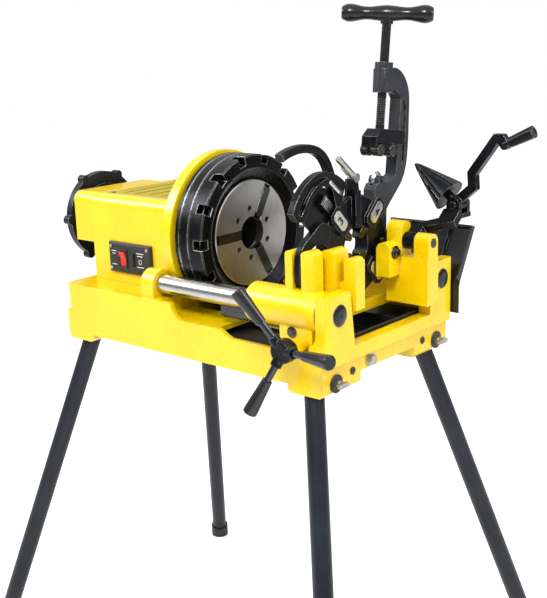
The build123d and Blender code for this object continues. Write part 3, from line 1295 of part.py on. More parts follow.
with BuildPart(Plane(HUB_ORIGIN, x_dir=(0, 1, 0), z_dir=CONE_DIR)) as reamer_cone:
    with Locations((0, 0, CONE_START)):
        Cone(CONE_BASE_R, CONE_TIP_R, CONE_LENGTH, align=(Align.CENTER, Align.CENTER, Align.MIN))
    slant = degrees(atan2(CONE_BASE_R - CONE_TIP_R, CONE_LENGTH))
    flute_middle = Location(((CONE_BASE_R + CONE_TIP_R) / 2 + 2.5, 0, CONE_START + CONE_LENGTH / 2), (0, -slant, 0))
    with PolarLocations(0, 6):
        with Locations(flute_middle):
            Cylinder(4.5, CONE_LENGTH + 30, mode=Mode.SUBTRACT)
    with Locations((0, 0, CONE_START - 1)):
        Cylinder(STUB_R + SEAT, 21.5, align=(Align.CENTER, Align.CENTER, Align.MIN), mode=Mode.SUBTRACT)
export(reamer_cone, "reamer_cone")

# ---- legs and their fasteners -------------------------------------------------------------
LEG_WALL = 3.0
CAP_R = 20.5
CAP_TOP_Z = -868.0
CAP_FLOOR = 4.0
CLAMP_Y = 150.0
CLAMP_Z = -192.0

with BuildPart() as legs:
    for axis in leg_axes:
        with BuildSketch(leg_plane(axis, LEG_TOP_Z)):
            Circle(LEG_R)
            Circle(LEG_R - LEG_WALL, mode=Mode.SUBTRACT)
        extrude(amount=820)
    with Locations((0, 0, FLOOR_Z + CAP_FLOOR)):
        Box(1200, 1200, 200, align=(Align.CENTER, Align.CENTER, Align.MAX), mode=Mode.SUBTRACT)
export(legs, "legs")

with BuildPart() as tube_ends:
    for axis in leg_axes:
        with BuildSketch(leg_plane(axis, CAP_TOP_Z + 20)):
            Circle(LEG_R + SEAT)
        extrude(amount=100)
    with Locations((0, 0, FLOOR_Z + CAP_FLOOR)):
        Box(1200, 1200, 200, align=(Align.CENTER, Align.CENTER, Align.MAX), mode=Mode.SUBTRACT)

with BuildPart() as leg_feet:
    for axis in leg_axes:
        with BuildSketch(leg_plane(axis, CAP_TOP_Z)):
            Circle(CAP_R)
        extrude(amount=60)
    with Locations((0, 0, FLOOR_Z)):
        Box(1200, 1200, 200, align=(Align.CENTER, Align.CENTER, Align.MAX), mode=Mode.SUBTRACT)
    add(tube_ends.part, mode=Mode.SUBTRACT)
export(leg_feet, "leg_feet")

with BuildPart() as leg_clamp_bolts:
    for face_x, outward in ((302, 1), (BASE_LEFT, -1)):
        for y in (-CLAMP_Y, CLAMP_Y):
            with BuildSketch(Plane((face_x, y, CLAMP_Z), x_dir=(0, 1, 0), z_dir=(outward, 0, 0))):
                Circle(15)
            extrude(amount=2.5)
            with BuildSketch(Plane((face_x - 12.5 * outward, y, CLAMP_Z), x_dir=(0, 1, 0), z_dir=(outward, 0, 0))):
                Circle(6 - SEAT)
            extrude(amount=25)
            with BuildSketch(Plane((face_x + 2.5 * outward, y, CLAMP_Z), x_dir=(0, 1, 0), z_dir=(outward, 0, 0))):
                RegularPolygon(8.5, 6)
            extrude(amount=7)
            with BuildSketch(Plane((face_x + 12 * outward, y, CLAMP_Z), x_dir=(0, 1, 0), z_dir=(outward, 0, 0))):
                SlotOverall(26, 8)
            extrude(amount=6)
export(leg_clamp_bolts, "leg_clamp_bolts")

with BuildPart() as drain_plug:
    with BuildSketch(x_plane(FOOT_X[1][1], PLUG_Y, PLUG_Z)):
        Circle(12)
    extrude(amount=2)
    with BuildSketch(x_plane(FOOT_X[1][1] + 2, PLUG_Y, PLUG_Z)):
        RegularPolygon(9, 6)
    extrude(amount=8)
    with BuildSketch(x_plane(FOOT_X[1][1] - 11, PLUG_Y, PLUG_Z)):
        Circle(6 - SEAT)
    extrude(amount=13)
export(drain_plug, "drain_plug")
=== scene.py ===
import math

import bmesh
import bpy
from mathutils import Matrix, Vector

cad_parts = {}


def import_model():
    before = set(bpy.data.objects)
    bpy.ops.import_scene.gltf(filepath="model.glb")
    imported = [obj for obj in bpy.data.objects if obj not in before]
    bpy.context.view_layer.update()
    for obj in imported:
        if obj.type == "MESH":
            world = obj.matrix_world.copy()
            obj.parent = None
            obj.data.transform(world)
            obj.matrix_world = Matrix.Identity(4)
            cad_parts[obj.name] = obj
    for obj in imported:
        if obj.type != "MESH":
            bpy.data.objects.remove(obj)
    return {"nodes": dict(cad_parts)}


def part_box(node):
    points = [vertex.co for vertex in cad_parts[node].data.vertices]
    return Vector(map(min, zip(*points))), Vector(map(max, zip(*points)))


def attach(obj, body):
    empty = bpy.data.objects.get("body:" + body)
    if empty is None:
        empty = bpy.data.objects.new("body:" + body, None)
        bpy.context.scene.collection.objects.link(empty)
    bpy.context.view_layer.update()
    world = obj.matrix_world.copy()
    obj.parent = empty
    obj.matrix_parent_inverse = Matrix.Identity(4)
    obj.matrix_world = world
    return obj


cad_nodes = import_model()["nodes"]
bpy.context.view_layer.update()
MM = 0.001


# ---- materials ------------------------------------------------------------------------------
RANGE_INPUTS = ("From Min", "From Max", "To Min", "To Max")
CLOUD = (0.3, 0.7)              # noise levels that become 0 and 1 in a drifting colour
# cosine between the true and the rounded normal where wear starts and where it is full
EDGE_TURN = (0.985, 0.88)
EDGE_BREAKS = (0.42, 0.6)       # noise levels that leave wear out and let it through
FINE_BUMP, PAINT_BUMP = 0.0004, 0.0006      # bump heights in metres


class Tree:
    """A material under construction; each method adds a node and returns its output socket."""

    def __init__(self, name):
        self.material = bpy.data.materials.new(name)
        self.material.use_nodes = True
        self.nodes = self.material.node_tree.nodes
        self.links = self.material.node_tree.links
        self.shader = self.nodes["Principled BSDF"]
        self.place = self.add("ShaderNodeTexCoord").outputs["Object"]

    def add(self, kind, settings=None, **sockets):
        node = self.nodes.new(kind)
        for key, value in (settings or {}).items():
            setattr(node, key, value)
        for key, value in sockets.items():
            self.feed(node.inputs[key.replace("_", " ")], value)
        return node

    def feed(self, socket, value):
        if isinstance(value, bpy.types.NodeSocket):
            self.links.new(value, socket)
        else:
            socket.default_value = value

    def put(self, name, value):
        self.feed(self.shader.inputs[name], value)

    def noise(self, scale, detail=3.0, rough=0.5, vector=None):
        node = self.add("ShaderNodeTexNoise", Scale=scale, Detail=detail, Roughness=rough)
        self.links.new(vector or self.place, node.inputs["Vector"])
        return node.outputs["Fac"]

    def ramp(self, value, low, high, out_low=0.0, out_high=1.0):
        node = self.add("ShaderNodeMapRange", Value=value)
        for key, number in zip(RANGE_INPUTS, (low, high, out_low, out_high)):
            node.inputs[key].default_value = number
        return node.outputs["Result"]

    def cloud(self, scale, detail, out_low=0.0, out_high=1.0, span=CLOUD, rough=0.5):
        """Noise whose levels between the two of span run from out_low to out_high."""
        return self.ramp(self.noise(scale, detail, rough), *span, out_low, out_high)

    def uneven_roughness(self, scale, detail, rough, most=1.25):
        """Roughness that drifts from 0.8 times its value to most times its value."""
        self.put("Roughness", self.cloud(scale, detail, rough * 0.8, rough * most))

    def math(self, operation, a, b=0.0):
        node = self.add("ShaderNodeMath", {"operation": operation, "use_clamp": False})
        self.feed(node.inputs[0], a)
        self.feed(node.inputs[1], b)
        return node.outputs[0]

    def mix(self, factor, a, b):
        node = self.add("ShaderNodeMix", {"data_type": "RGBA"})
        self.feed(node.inputs["Factor"], factor)
        for socket, colour in ((node.inputs[6], a), (node.inputs[7], b)):
            self.feed(socket, (*colour, 1.0) if isinstance(colour, tuple) else colour)
        return node.outputs[2]

    def edges(self, radius, noise_scale=60.0, cover=0.0):
        """Mask of worn edges, which some looks also use for painted highlights, and the normal
        rounded over them.
        """
        round_normal = self.add("ShaderNodeBevel", {"samples": 4}, Radius=radius).outputs["Normal"]
        flat_normal = self.add("ShaderNodeNewGeometry").outputs["Normal"]
        dot = self.add("ShaderNodeVectorMath", {"operation": "DOT_PRODUCT"})
        self.links.new(round_normal, dot.inputs[0])
        self.links.new(flat_normal, dot.inputs[1])
        edge = self.ramp(dot.outputs["Value"], *EDGE_TURN)
        levels = [level - cover for level in EDGE_BREAKS]
        broken = self.cloud(noise_scale, 4.0, span=levels, rough=0.65)
        return self.math("MULTIPLY", edge, broken), round_normal

    def bump(self, height, strength, distance, normal):
        node = self.add("ShaderNodeBump", Strength=strength, Distance=distance, Height=height)
        self.links.new(normal, node.inputs["Normal"])
        return node.outputs["Normal"]


def painted(name, base, shade, worn, rough=0.3, coat=0.3, grain=420.0, depth=0.12, wear=0.5,
            radius=0.0016, corner_dirt_and_shade=0.35, corner_dirt_and_shade_colour=(0.05, 0.035, 0.01), shine=0.5):
    """Paint on a casting: drifting colour, orange peel, rubbed edges, and dirt with painted shade
    in the corners.
    """
    tree = Tree(name)
    edge, normal = tree.edges(radius)
    colour = tree.mix(tree.cloud(9.0, 4.0), base, shade)
    if corner_dirt_and_shade:
        # dirt and painted shade: the colour darkens in corners that ambient occlusion finds, in
        # noisy patches
        corner = tree.add("ShaderNodeAmbientOcclusion", {"samples": 4}, Distance=0.012)
        depth_of_corner = tree.ramp(corner.outputs["AO"], 0.75, 0.2)
        dirt_and_shade = tree.math("MULTIPLY", depth_of_corner, tree.cloud(35.0, 5.0, 0.3, 1.0))
        colour = tree.mix(tree.math("MULTIPLY", dirt_and_shade, corner_dirt_and_shade), colour, corner_dirt_and_shade_colour)
    colour = tree.mix(tree.math("MULTIPLY", edge, wear), colour, worn)
    tree.put("Base Color", colour)
    tree.uneven_roughness(70.0, 5.0, rough)
    tree.put("Specular IOR Level", shine)
    tree.put("Coat Weight", coat)
    tree.put("Coat Roughness", 0.12)
    tree.put("Normal", tree.bump(tree.noise(grain, 3.0), depth, PAINT_BUMP, normal))
    return tree.material


def cast(name, base, sheen, rough=0.42, wear=0.75, grain=300.0, depth=0.35, metal=0.75,
         radius=0.0016, rub=45.0, cover=0.05):
    """Blackened casting or forging: sandy skin and edges rubbed to bright metal; at full wear the
    bright edges also serve as painted highlights.
    """
    tree = Tree(name)
    edge, normal = tree.edges(radius, rub, cover)
    colour = tree.mix(tree.cloud(14.0, 5.0, span=(0.35, 0.7)), base, sheen)
    edge = tree.math("MULTIPLY", edge, wear)
    tree.put("Base Color", tree.mix(edge, colour, (0.42, 0.42, 0.41)))
    tree.put("Metallic", tree.ramp(edge, 0.0, 1.0, metal, 1.0))
    tree.uneven_roughness(55.0, 4.0, rough, most=1.3)
    tree.put("Specular IOR Level", 0.4)
    tree.put("Normal", tree.bump(tree.noise(grain, 4.0, 0.6), depth, PAINT_BUMP, normal))
    return tree.material


LINES_ALONG_X = (6.0, 900.0, 900.0)     # stretch of the noise that draws machining lines
RINGS_PER_METRE = 1500.0


def turned(name, colour, dark, rough=0.28, centre=None, stain=0.35):
    """Machined metal with rings round the axis centre (y, z), or with lines along X."""
    tree = Tree(name)
    edge, normal = tree.edges(0.0008)
    if centre is None:
        scale = tree.add("ShaderNodeMapping", {"vector_type": "POINT"})
        scale.inputs["Scale"].default_value = LINES_ALONG_X
        tree.links.new(tree.place, scale.inputs["Vector"])
        line = tree.noise(1.0, 2.0, 0.5, scale.outputs["Vector"])
    else:
        split = tree.add("ShaderNodeSeparateXYZ", Vector=tree.place)
        y = tree.math("SUBTRACT", split.outputs["Y"], centre[0])
        z = tree.math("SUBTRACT", split.outputs["Z"], centre[1])
        squares = tree.math("ADD", tree.math("MULTIPLY", y, y), tree.math("MULTIPLY", z, z))
        ring = tree.add("ShaderNodeCombineXYZ")
        reach = tree.math("SQRT", squares)
        tree.links.new(tree.math("MULTIPLY", reach, RINGS_PER_METRE), ring.inputs["X"])
        line = tree.noise(1.0, 2.0, 0.6, ring.outputs["Vector"])
    stained = tree.math("MULTIPLY", tree.cloud(22.0, 6.0, span=(0.45, 0.75), rough=0.6), stain)
    brown = (dark[0] * 0.5, dark[1] * 0.45, dark[2] * 0.4)
    base = tree.mix(stained, tree.mix(tree.ramp(line, *CLOUD), colour, dark), brown)
    tree.put("Base Color", tree.mix(tree.math("MULTIPLY", edge, 0.6), base, (0.75, 0.75, 0.74)))
    tree.put("Metallic", 1.0)
    tree.put("Roughness", tree.ramp(line, 0.2, 0.8, rough * 0.75, rough * 1.35))
    tree.put("Normal", tree.bump(line, 0.12, FINE_BUMP, normal))
    return tree.material


def moulded(name, base, shade, rough=0.4, grain=900.0, depth=0.12, worn=(0.1, 0.1, 0.1),
            wear=0.4):
    """Plastic, rubber or print with a fine texture and, where wear is above 0, paler edges."""
    tree = Tree(name)
    edge, normal = tree.edges(0.0012, 90.0)
    colour = tree.mix(tree.cloud(18.0, 4.0), base, shade)
    tree.put("Base Color", tree.mix(tree.math("MULTIPLY", edge, wear), colour, worn))
    tree.uneven_roughness(130.0, 4.0, rough)
    tree.put("Normal", tree.bump(tree.noise(grain, 2.0), depth, FINE_BUMP, normal))
    return tree.material


YELLOW = painted("yellow_enamel", (0.90, 0.64, 0.0), (0.84, 0.55, 0.0), (0.95, 0.80, 0.2),
                 rough=0.26, coat=0.35)
OLIVE = painted("olive_cover", (0.50, 0.40, 0.01), (0.38, 0.31, 0.01), (0.72, 0.60, 0.1),
                rough=0.42, coat=0.1)
BLACK_SHEET = painted("black_sheet", (0.012, 0.012, 0.014), (0.02, 0.02, 0.022), (0.25, 0.25, 0.26),
                      rough=0.35, coat=0.05, shine=0.3, corner_dirt_and_shade=0.2)
LEG_PAINT = painted("leg_paint", (0.010, 0.012, 0.016), (0.018, 0.021, 0.027), (0.16, 0.17, 0.19),
                    rough=0.34, coat=0.05, wear=0.0, shine=0.25, grain=240.0, depth=0.2, corner_dirt_and_shade=0.0)
# the cutter frame gets strong painted shade in its corners, darkened nearly to black
GREY_PAINT = painted("grey_paint", (0.034, 0.037, 0.043), (0.010, 0.011, 0.013), (0.5, 0.5, 0.5),
                     coat=0.1, shine=0.3, grain=260.0, depth=0.3, wear=0.7, corner_dirt_and_shade=0.6,
                     corner_dirt_and_shade_colour=(0.01, 0.01, 0.01))
BLACK_CAST = cast("black_cast", (0.006, 0.0065, 0.008), (0.016, 0.018, 0.023), rough=0.3)
# hammer wheel: the worn edges are widened and turned up to full, so they paint bright highlights
# along the notch edges on top of wear
WHEEL_CAST_WEAR_AND_HIGHLIGHTS = cast("wheel_cast_wear_and_highlights", (0.005, 0.0055, 0.007), (0.013, 0.015, 0.019), rough=0.27, wear=1.0,
                  radius=0.0024, rub=14.0, cover=0.14)
BLUE_CAST = cast("blue_cast", (0.014, 0.017, 0.024), (0.03, 0.036, 0.05), rough=0.32)
IRON = cast("machined_iron", (0.12, 0.12, 0.12), (0.18, 0.18, 0.18), rough=0.45, metal=0.8)
FACE_STEEL = turned("face_steel", (0.66, 0.65, 0.62), (0.46, 0.45, 0.43), rough=0.3,
                    centre=(0.0, 0.0))
BRIGHT_STEEL = turned("bright_steel", (0.62, 0.62, 0.61), (0.45, 0.45, 0.44), rough=0.22)
ZINC = turned("zinc_steel", (0.58, 0.58, 0.57), (0.38, 0.38, 0.37), rough=0.33, stain=0.6)
DARK_STEEL = turned("dark_steel", (0.13, 0.128, 0.125), (0.05, 0.049, 0.048), rough=0.26,
                    stain=0.5)
GEAR_STEEL = turned("gear_steel", (0.42, 0.41, 0.38), (0.26, 0.25, 0.23), rough=0.35, stain=0.7)
BRONZE = turned("bearing_bronze", (0.60, 0.40, 0.16), (0.42, 0.27, 0.10), rough=0.35)
TAG_METAL = turned("tag_metal", (0.78, 0.78, 0.76), (0.62, 0.62, 0.60), rough=0.3, stain=0.25)
BLACK_PLASTIC = moulded("black_plastic", (0.012, 0.012, 0.013), (0.020, 0.020, 0.021))
GLOSS_BLACK = moulded("gloss_black", (0.010, 0.010, 0.012), (0.018, 0.018, 0.020), rough=0.2,
                      grain=500.0, depth=0.05)
RUBBER = moulded("foot_rubber", (0.010, 0.010, 0.010), (0.022, 0.021, 0.020), rough=0.65, depth=0.3)
RED_PLASTIC = moulded("red_rocker", (0.62, 0.010, 0.006), (0.48, 0.008, 0.005), rough=0.25,
                      worn=(0.8, 0.15, 0.1))
BLACK_SHINE = painted("black_gloss", (0.006, 0.006, 0.007), (0.012, 0.012, 0.013), (0.2, 0.2, 0.2),
                      rough=0.22, coat=0.2, shine=0.3, grain=200.0, depth=0.1, corner_dirt_and_shade=0.0)
GUN_METAL = turned("gun_metal", (0.10, 0.115, 0.15), (0.04, 0.048, 0.065), rough=0.22, stain=0.3)
NUMBER_INK = moulded("number_ink", (0.008, 0.008, 0.008), (0.014, 0.014, 0.014), wear=0.0)
MARK_WHITE = moulded("white_print", (0.75, 0.75, 0.73), (0.66, 0.66, 0.64), rough=0.5, wear=0.0)

# one look for each CAD node

LOOKS = {
    YELLOW: ("base_casting", "gear_case", "carriage"),
    OLIVE: ("top_cover",),
    BLACK_SHEET: ("chip_tray", "motor"),
    LEG_PAINT: ("legs",),
    GREY_PAINT: ("cutter_frame",),
    BLACK_CAST: ("die_head_body", "reamer_cone", "cutter_slide", "throwout_handle", "reamer_arm",
                 "reamer_lever", "handwheel_hub"),
    WHEEL_CAST_WEAR_AND_HIGHLIGHTS: ("hammer_wheel",),
    BLUE_CAST: ("rear_chuck_body", "rear_chuck_ring", "cam_plate"),
    IRON: ("drive_plate",),
    FACE_STEEL: ("chuck_body",),
    BRIGHT_STEEL: ("guide_rail_front", "guide_rail_rear", "spindle_tube", "pinion_shaft",
                   "cutter_wheel"),
    ZINC: ("leg_clamp_bolts", "drain_plug", "cover_screws", "head_link_rod"),
    DARK_STEEL: ("jaw_1", "jaw_2", "jaw_3", "rear_jaw_1", "rear_jaw_2", "rear_jaw_3",
                 "die_1", "die_2", "die_3", "die_4", "faceplate_screws", "rack", "hinge_pins",
                 "cutter_roller_front", "cutter_roller_rear"),
    GEAR_STEEL: ("motor_pinion", "layshaft", "lay_big_gear", "spindle_gear"),
    BRONZE: ("front_bearing", "rear_bearing"),
    TAG_METAL: ("die_tags",),
    GUN_METAL: ("handwheel_arms",),
    BLACK_PLASTIC: ("switch_box", "motor_end_cap"),
    GLOSS_BLACK: ("handwheel_grips",),
    RUBBER: ("leg_feet",),
    BLACK_SHINE: ("rear_splash_tray", "cutter_feed_screw"),
    RED_PLASTIC: ("switch_rocker",),
}
for look, names in LOOKS.items():
    for name in names:
        mesh = cad_nodes[name].data
        mesh.materials.clear()
        mesh.materials.append(look)


# ---- detail pieces ----------------------------------------------------------------------------
PARALLEL = 0.99         # cosine above which two directions count as the same


def stand(origin, axis, across=(0.0, 0.0, 1.0)):
    """Matrix with its origin at a point in millimetres, Z along axis and X close to across."""
    z = Vector(axis).normalized()
    if abs(z.dot(Vector(across))) > PARALLEL:
        across = (1.0, 0.0, 0.0)
    x = (Vector(across) - z * z.dot(Vector(across))).normalized()
    return Matrix.Translation(Vector(origin)) @ Matrix((x, z.cross(x), z)).transposed().to_4x4()


def skin(mesh, loops, closed=False):
    """Faces between rings of corners; an open end gets a flat face unless it is a point."""
    pairs = list(zip(loops, loops[1:])) + ([(loops[-1], loops[0])] if closed else [])
    for a, b in pairs:
        for i in range(max(len(a), len(b))):
            corners = [a[i % len(a)], a[(i + 1) % len(a)], b[(i + 1) % len(b)], b[i % len(b)]]
            unique = [c for k, c in enumerate(corners) if c not in corners[:k]]
            if len(unique) > 2:
                mesh.faces.new(unique)
    if not closed:
        for loop in (loops[0], loops[-1]):
            if len(loop) > 2:
                mesh.faces.new(loop)


def lathe(mesh, matrix, rings, steps=24, closed=False):
    """Solid of revolution from (radius, height) pairs; a third number makes that ring a polygon."""
    loops = []
    for ring in rings:
        corners = ring[2] if len(ring) > 2 else 0
        loop = []
        for i in range(steps if ring[0] else 1):
            angle = 2 * math.pi * i / steps
            reach = ring[0]
            if corners:
                half = math.pi / corners
                reach *= math.cos(half) / math.cos(angle % (2 * half) - half)
            point = Vector((reach * math.cos(angle), reach * math.sin(angle), ring[1]))
            loop.append(mesh.verts.new(matrix @ point))
        loops.append(loop)
    skin(mesh, loops, closed)


def prism(mesh, matrix, outline, depth, edge=0.4):
    """A plate with the given outline and a small chamfer round its outer face."""
    points = [Vector((p[0], p[1], 0)) for p in outline]
    count = len(points)
    middle = Vector((sum(p.x for p in points) / count, sum(p.y for p in points) / count, 0))
    reach = max((p - middle).length for p in points)
    loops = []
    for height, shrink in ((0, 1.0), (depth - edge, 1.0), (depth, 1 - edge / reach)):
        lift = Vector((0, 0, height))
        ring = [middle + (p - middle) * shrink + lift for p in points]
        loops.append([mesh.verts.new(matrix @ p) for p in ring])
    skin(mesh, loops)


def box_plate(mesh, matrix, width, height, depth, edge):
    """A rectangular plate with a small chamfer round its outer face."""
    w, h = width / 2, height / 2
    prism(mesh, matrix, [(-w, -h), (w, -h), (w, h), (-w, h)], depth, edge)


def wire(mesh, points, radius, sides):
    """A round bar along a line of points."""
    loops = []
    side = Vector((0.31, 0.52, 0.79))       # any direction that the line doesn't start along
    for i, point in enumerate(points):
        along = (points[min(i + 1, len(points) - 1)] - points[max(i - 1, 0)]).normalized()
        side = (side - along * along.dot(side)).normalized()
        other = along.cross(side)
        loops.append([mesh.verts.new(point + radius * (math.cos(a) * side + math.sin(a) * other))
                      for a in (2 * math.pi * k / sides for k in range(sides))])
    skin(mesh, loops)


def coil(mesh, start, end, radius, turns, gauge):
    """A helical spring between two points."""
    matrix = stand(start, end - start)
    length = (end - start).length
    steps = turns * 14
    points = []
    for i in range(steps + 1):
        angle = 2 * math.pi * turns * i / steps
        points.append(matrix @ Vector((radius * math.cos(angle), radius * math.sin(angle),
                                       length * i / steps)))
    wire(mesh, points, gauge, 6)


def hex_bolt(mesh, place, axis, size, head, washer=0.0):
    """Hex head with chamfered corners, on a washer where washer gives its thickness."""
    matrix = stand(place, axis)
    if washer:
        rim = size * 1.45
        lathe(mesh, matrix, [
            (0, 0), (rim, 0), (rim, washer * 0.7), (size * 1.35, washer), (0, washer)])
    foot, top = washer - 0.2, washer + head
    lathe(mesh, matrix, [(0, foot), (size, foot, 6), (size, washer + head * 0.82, 6),
                         (size * 0.84, top), (0, top)])


def socket_screw(mesh, place, axis, size, head):
    """Round head with a hexagon socket."""
    lathe(mesh, stand(place, axis), [
        (0, 0), (size, 0), (size, head * 0.85), (size * 0.9, head), (size * 0.55, head, 6),
        (size * 0.52, head * 0.35, 6), (0, head * 0.3)])


SHARP_ANGLE = math.radians(32.0)


def finish_piece(name, mesh, look, body):
    """Scales a mesh drawn in millimetres, shades it and hangs it on its body."""
    bmesh.ops.scale(mesh, vec=(MM, MM, MM), verts=mesh.verts)
    bmesh.ops.recalc_face_normals(mesh, faces=mesh.faces)
    data = bpy.data.meshes.new(name)
    mesh.to_mesh(data)
    mesh.free()
    data.shade_smooth()
    data.set_sharp_from_angle(angle=SHARP_ANGLE)
    data.materials.append(look)
    piece = bpy.data.objects.new(name, data)
    bpy.context.scene.collection.objects.link(piece)
    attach(piece, body)


def corners(node):
    """Lowest and highest corner of a CAD node in millimetres."""
    low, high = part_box(node)
    return Vector(low) / MM, Vector(high) / MM


X_AXIS, FRONT = (1.0, 0.0, 0.0), (0.0, -1.0, 0.0)
# Positions are in millimetres in the axes of the frame: X along the spindle, Y to the rear, Z up.
# Numbers typed here follow the sizes that the CAD was drawn to; the rest is read from packed boxes.
SINK = 0.1              # how far the foot of a piece lies inside the switch panel

# dark caps in the +X ends of both guide rails
rail_low, rail_high = corners("guide_rail_front")
rail_y = -(rail_low.y + rail_high.y) / 2
rail_z = (rail_low.z + rail_high.z) / 2
rail_r = (rail_high.z - rail_low.z) / 2
mesh = bmesh.new()
for side in (-1, 1):
    lathe(mesh, stand((rail_high.x - 0.3, side * rail_y, rail_z), X_AXIS), [
        (0, 0), (rail_r - 0.6, 0), (rail_r - 0.6, 1.0), (rail_r - 2.2, 1.9),
        (4.2, 1.9), (3.2, 0.9), (0, 0.9)], 40)
finish_piece("rail_end_caps", mesh, BLACK_SHINE, "frame")

# set screws in the two foot blocks at the +X end
SET_SCREW_Y, SET_SCREW_RISE = 105.0, 10.0
CLAMP_Y = 150.0
FOOT_INSET = 11.0       # from the +X end of the base back to the face of its foot blocks
base_low, base_high = corners("base_casting")
bolt_low, bolt_high = corners("leg_clamp_bolts")
clamp_z = (bolt_low.z + bolt_high.z) / 2
foot_face = base_high.x - FOOT_INSET
mesh = bmesh.new()
for side in (-1, 1):
    lathe(mesh, stand((foot_face, side * SET_SCREW_Y, clamp_z + SET_SCREW_RISE), X_AXIS), [
        (0, 0), (6.5, 0), (6.5, 1.6), (5.6, 2.2), (3.4, 2.2, 6), (3.2, 0.8, 6), (0, 0.8)])
finish_piece("foot_set_screws", mesh, BLACK_SHINE, "frame")

# washers under the four leg clamp bolts
mesh = bmesh.new()
for face, outward in ((foot_face, 1.0), (base_low.x, -1.0)):
    for side in (-1, 1):
        lathe(mesh, stand((face, side * CLAMP_Y, clamp_z), (outward, 0, 0)), [
            (9.0, 2.4), (9.0, 3.4), (14.4, 3.4), (15.6, 2.6), (15.6, 0.1), (15.1, 0.1),
            (15.1, 2.4)], 40, closed=True)
finish_piece("clamp_washers", mesh, BLACK_SHINE, "frame")

# screws in the corners of the switch panel
SCREW_INSET = 8
panel_low, panel_high = corners("switch_box")
panel_face = panel_low.y
mesh = bmesh.new()
for x in (panel_low.x + SCREW_INSET, panel_high.x - SCREW_INSET):
    for z in (panel_low.z + SCREW_INSET, panel_high.z - SCREW_INSET):
        lathe(mesh, stand((x, panel_face + SINK, z), FRONT), [
            (0, 0), (3.4, 0), (3.2, 1.2), (2.2, 1.9), (1.2, 1.9, 4), (1.1, 1.0, 4), (0, 1.0)])
finish_piece("switch_screws", mesh, ZINC, "frame")

# four bars round the rocker
rocker_low, rocker_high = corners("switch_rocker")
rocker_x = (rocker_low.x + rocker_high.x) / 2
rocker_z = (rocker_low.z + rocker_high.z) / 2
well = (rocker_high.x - rocker_low.x) / 2 + 0.8
tall = (rocker_high.z - rocker_low.z) / 2 + 1.8
mesh = bmesh.new()
for dx, dz, w, h in ((-well - 1.4, 0, 2.4, 2 * tall + 5), (well + 1.4, 0, 2.4, 2 * tall + 5),
                     (0, -tall - 1.2, 2 * well + 0.4, 2.6), (0, tall + 1.2, 2 * well + 0.4, 2.6)):
    spot = (rocker_x + dx, panel_face + SINK, rocker_z + dz)
    box_plate(mesh, stand(spot, FRONT), h, w, 2.0, 0.6)
finish_piece("switch_surround", mesh, GLOSS_BLACK, "frame")

# plain bars and a ring where the photo has small print beside the rocker
PRINT_LEFT, PRINT_RIGHT = -26, 47       # middles of the two columns, from the rocker's middle
PRINT_SINK, PRINT_THICK, BAR_TALL = 0.05, 0.35, 1.6
mesh = bmesh.new()
for dx, dz, w in ((PRINT_LEFT, 13, 13), (PRINT_LEFT, 8, 9), (PRINT_LEFT, -13, 13),
                  (PRINT_RIGHT, 14, 20), (PRINT_RIGHT, 9, 15), (PRINT_RIGHT, -12, 18)):
    spot = (rocker_x + dx, panel_face + PRINT_SINK, rocker_z + dz)
    box_plate(mesh, stand(spot, FRONT), BAR_TALL, w, PRINT_THICK, 0.1)
spot = (rocker_x + PRINT_RIGHT, panel_face + PRINT_SINK, rocker_z - 2.0)
lathe(mesh, stand(spot, FRONT), [
    (4.6, 0), (4.6, PRINT_THICK), (3.4, PRINT_THICK), (3.4, 0)], 32, closed=True)
finish_piece("switch_marks", mesh, MARK_WHITE, "frame")

# bolts on the +X face and the front face of the carriage
SIDE_BOLT, FRONT_BOLT = (274.0, 61.0, -18.0), (234.0, -175.0, -111.0)
mesh = bmesh.new()
hex_bolt(mesh, SIDE_BOLT, X_AXIS, 8.0, 5.5, 1.6)
hex_bolt(mesh, FRONT_BOLT, FRONT, 6.6, 4.5, 1.2)
finish_piece("carriage_bolts", mesh, DARK_STEEL, "carriage")

# die head: a pin beside the link rod, and the spring round the rod
rod_low, rod_high = corners("head_link_rod")
rod_x = (rod_low.x + rod_high.x) / 2
rod_axis = Vector((0.0, -44.0, 35.0)).normalized()
rod_foot = Vector((rod_x, rod_high.y - 2.5, rod_low.z + 3.1))
SPRING_START, SPRING_END = 13.0, 44.0       # along the rod from its foot
PIN_LENGTH = 35.5
pin_foot = Vector((rod_x + 2.0, -50.0, 98.0))
mesh = bmesh.new()
lathe(mesh, stand(pin_foot, rod_axis), [
    (0, 0), (4.2, 0), (4.2, PIN_LENGTH - 1.5), (3.4, PIN_LENGTH), (0, PIN_LENGTH)])
finish_piece("die_head_pin", mesh, BRIGHT_STEEL, "die_head")
mesh = bmesh.new()
coil(mesh, rod_foot + rod_axis * SPRING_START, rod_foot + rod_axis * SPRING_END, 6.3, 9, 0.8)
finish_piece("link_rod_spring", mesh, ZINC, "die_head")

# die head: the nut at the pin's foot and two screws in the face between the tags
FACE_SCREW_REACH = 66
tag_face = corners("die_tags")[1].x
mesh = bmesh.new()
hex_bolt(mesh, pin_foot - rod_axis * 3.0, rod_axis, 6.4, 5.0)
for side in (1, -1):
    socket_screw(mesh, (tag_face - 2.2, side * FACE_SCREW_REACH, 0.0), X_AXIS, 5.2, 4.0)
finish_piece("die_head_screws", mesh, DARK_STEEL, "die_head")

